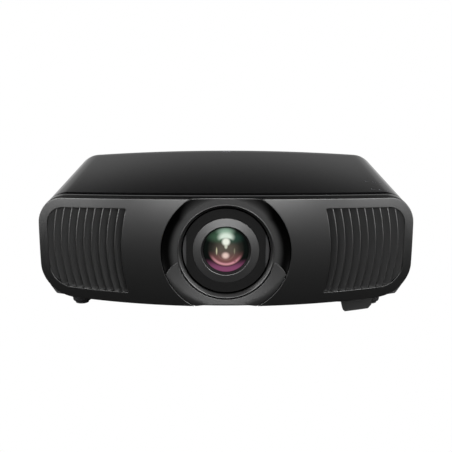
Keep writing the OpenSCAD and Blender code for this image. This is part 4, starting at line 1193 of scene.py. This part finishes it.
@dataclass
class Foot(Assembly):
    """A front foot: a dish, a ribbed collar and its stud."""

    side: int = 1
    x: float = 218.0
    y: float = -77.5
    radius: float = 14.5
    ribs: int = 40

    def build(self) -> None:
        """Makes the foot's turned body and its ribs."""
        name = "right" if self.side > 0 else "left"
        self.body = name + "_foot"
        cx = self.side * self.x
        r = self.radius
        profile = [(0.05, 3.0), (r - 3.0, 3.0), (r - 1.7, 3.6), (r - 1.0, 4.8), (r - 0.8, 6.2)]
        profile += [(r - 0.8, 15.6), (r - 1.6, 16.6), (r - 2.6, 17.0), (6.2, 17.0), (6.0, 17.2), (6.0, 23.6)]
        profile += [(4.0, 23.7), (4.0, 62.0), (0.05, 62.0)]
        obj = revolve_up(profile, cx, self.y).build(name + "_foot_body", 35)
        self.place(obj, "foot_moulding", "front_" + name + "_foot")
        tree, given = geometry_tree("ribs", {"Count": "Int", "Radius": "Float", "Finish": "Material"})
        circle = {"Vertices": given.outputs["Count"], "Radius": given.outputs["Radius"]}
        ring = add_node(tree, "GeometryNodeMeshCircle", circle)
        bar = {"Vertices": 8, "Radius": 0.8 * MM, "Depth": 6.6 * MM}
        rib = add_node(tree, "GeometryNodeMeshCylinder", bar)
        solid = copies(tree, ring, rib.outputs[0])
        centre = (cx * MM, self.y * MM, 12.0 * MM)
        moved = add_node(tree, "GeometryNodeTransform", {"Geometry": solid.outputs[0], "Translation": centre})
        end_tree(tree, moved, given.outputs["Finish"])
        ribs = run_tree(name + "_foot_ribs", tree, [self.ribs, (r - 0.9) * MM, PAINT.get("foot_moulding")])
        self.place(ribs, "")


# ---------------------------------------------------------------- CAD nodes


class Frame:
    """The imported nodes, dressed by their material slots."""

    def __init__(self, frame: dict) -> None:
        self.nodes = frame["nodes"]
        self.slots = {s["node"]: s["material_slot"] for s in frame["record"]["subparts"]}

    def dress(self) -> None:
        """Gives every node the finish of its slot."""
        for name, obj in self.nodes.items():
            slot = self.slots[name]
            obj.data.materials.clear()
            obj.data.materials.append(PAINT.get(slot))
            LOG.debug("%s wears %s", name, slot)


# ---------------------------------------------------------------- stage


AIM = (0.0, -0.2, 0.12)
UNLIT_FROM_FRONT = ("cover_shell", "trim_shell", "floor")


@dataclass
class Stage:
    """Camera, lights, floor and surroundings."""

    lens: float = 71.68
    camera_y: float = -1.3735
    camera_z: float = 0.448
    pitch: float = 14.28

    def camera(self) -> None:
        """Makes the camera."""
        data = bpy.data.cameras.new("camera")
        data.lens = self.lens
        data.sensor_width = 36.0
        data.clip_start = 0.05
        data.clip_end = 50.0
        cam = bpy.data.objects.new("camera", data)
        cam.location = (0.0, self.camera_y, self.camera_z)
        cam.rotation_euler = (math.radians(90 - self.pitch), 0.0, 0.0)
        bpy.context.scene.collection.objects.link(cam)
        bpy.context.scene.camera = cam

    def area(self, name: str, at: Point3, size: Point2, power: float, target: Point3 = AIM) -> Object:
        """Makes a soft light that looks at a point.

        Args:
            name: the light's name.
            at: where it stands, in metres.
            size: its width and height, in metres.
            power: its power in watts.
            target: the point it looks at.

        Returns:
            The light.
        """
        data = bpy.data.lights.new(name, "AREA")
        data.shape = "RECTANGLE"
        data.size, data.size_y = size
        data.energy = power
        obj = bpy.data.objects.new(name, data)
        obj.location = at
        way = Vector(target) - Vector(at)
        obj.rotation_euler = way.to_track_quat("-Z", "Y").to_euler()
        bpy.context.scene.collection.objects.link(obj)
        return obj

    def keep_off(self, lights: List[Object], names: Tuple[str, ...]) -> None:
        """Keeps lights off some pieces, which would mirror them when seen from behind."""
        lit = bpy.data.collections.new("lit_from_front")
        for obj in bpy.context.scene.objects:
            if obj.type == "MESH" and obj.name not in names:
                lit.objects.link(obj)
        for light in lights:
            light.light_linking.receiver_collection = lit

    def floor(self) -> None:
        """Makes the floor: white to the camera, dark to other rays, bright far behind and beside."""
        shape = Shape()
        s = 6000.0
        shape.add(np.array([[-s, -s, 0], [s, -s, 0], [s, s, 0], [-s, s, 0]]), [(0, 1, 2, 3)])
        obj = shape.build("floor")
        mat = bpy.data.materials.new("floor_paint")
        tree, out = blank(mat)
        where = add_node(tree, "ShaderNodeTexCoord").outputs["Object"]
        part = add_node(tree, "ShaderNodeSeparateXYZ", {0: where})
        noise = add_node(tree, "ShaderNodeTexNoise", {"Vector": where, "Scale": 3.0})
        tone = ranged(tree, noise.outputs["Fac"], (0.0, 1.0), (0.05, 0.055))
        matt = add_node(tree, "ShaderNodeBsdfDiffuse", {"Color": tone})
        away = ranged(tree, part.outputs["Y"], (0.25, 0.9))
        matt = blend(tree, away, matt, glow(tree, 0.55))
        beside = ranged(tree, maths(tree, "ABSOLUTE", part.outputs["X"]), (0.4, 1.1))
        matt = blend(tree, beside, matt, glow(tree, 0.5))
        camera = add_node(tree, "ShaderNodeLightPath").outputs["Is Camera Ray"]
        tree.links.new(blend(tree, camera, matt, glow(tree, 1.0)).outputs[0], out.inputs["Surface"])
        obj.data.materials.append(mat)

    def world(self) -> None:
        """Makes surroundings: bright at the horizon and the sides, dark above, white to the camera."""
        world = bpy.data.worlds.new("surroundings")
        bpy.context.scene.world = world
        tree, out = blank(world)
        where = add_node(tree, "ShaderNodeTexCoord").outputs["Generated"]
        part = add_node(tree, "ShaderNodeSeparateXYZ", {0: where})
        ramp = add_node(tree, "ShaderNodeValToRGB", {"Fac": part.outputs["Z"]})
        stops = [(0.0, 0.34), (0.12, 0.27), (0.148, 0.203), (0.1536, 0.138), (0.1636, 0.078), (0.172, 0.043)]
        stops += [(0.178, 0.026), (0.186, 0.018), (0.21, 0.01), (1.0, 0.005)]
        elements = ramp.color_ramp.elements
        elements[0].position, elements[0].color = stops[0][0], (*[stops[0][1]] * 3, 1)
        elements[1].position, elements[1].color = stops[-1][0], (*[stops[-1][1]] * 3, 1)
        for at, value in stops[1:-1]:
            elements.new(at).color = (value, value, value, 1)
        sides = ranged(tree, maths(tree, "ABSOLUTE", part.outputs["X"]), (0.35, 0.95), (0.0, 0.5), soft=True)
        layers = {0: 1.0, 6: ramp.outputs[0], 7: sides}
        total = add_node(tree, "ShaderNodeMix", layers, data_type="RGBA", blend_type="ADD")
        seen = add_node(tree, "ShaderNodeBackground", {"Color": WHITE, "Strength": 1.0})
        unseen = add_node(tree, "ShaderNodeBackground", {"Color": total.outputs[2], "Strength": 1.0})
        camera = add_node(tree, "ShaderNodeLightPath").outputs["Is Camera Ray"]
        tree.links.new(blend(tree, camera, unseen, seen).outputs[0], out.inputs["Surface"])

    def build(self) -> None:
        """Makes the whole stage."""
        self.camera()
        from_front = [
            self.area("front_panel", (0.0, -3.4, 1.75), (3.8, 2.6), 350.0),
            self.area("front_left_panel", (-3.0, -1.9, 1.75), (2.6, 2.6), 240.0),
            self.area("front_right_panel", (3.0, -1.9, 1.75), (2.6, 2.6), 240.0),
        ]
        self.keep_off(from_front, UNLIT_FROM_FRONT)
        self.area("upper_right", (1.3, -1.9, 1.6), (0.8, 0.8), 60.0)
        self.area("overhead", (0.0, -0.7, 2.6), (1.6, 1.0), 8.0)
        self.area("left_wall", (-2.4, 0.4, 0.35), (3.0, 0.7), 60.0, (0.0, 0.0, 0.15))
        self.area("right_wall", (2.4, 0.4, 0.35), (3.0, 0.7), 60.0, (0.0, 0.0, 0.15))
        self.floor()
        self.world()
        scene = bpy.context.scene
        scene.view_settings.view_transform = "Standard"
        scene.view_settings.look = "None"


def main() -> None:
    """Builds the scene."""
    logging.basicConfig(level=logging.INFO)
    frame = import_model()
    Frame(frame).dress()
    parts: List[Assembly] = [
        Cover(),
        FrontPanel(),
        Grille(side=1),
        Grille(side=-1),
        LensOpening(),
        LensNose(),
        FrontGlass(),
        Foot(side=1),
        Foot(side=-1),
    ]
    for part in parts:
        part.build()
        LOG.info("built %s", type(part).__name__)
    Stage().build()


if __name__ == "__main__":
    main()
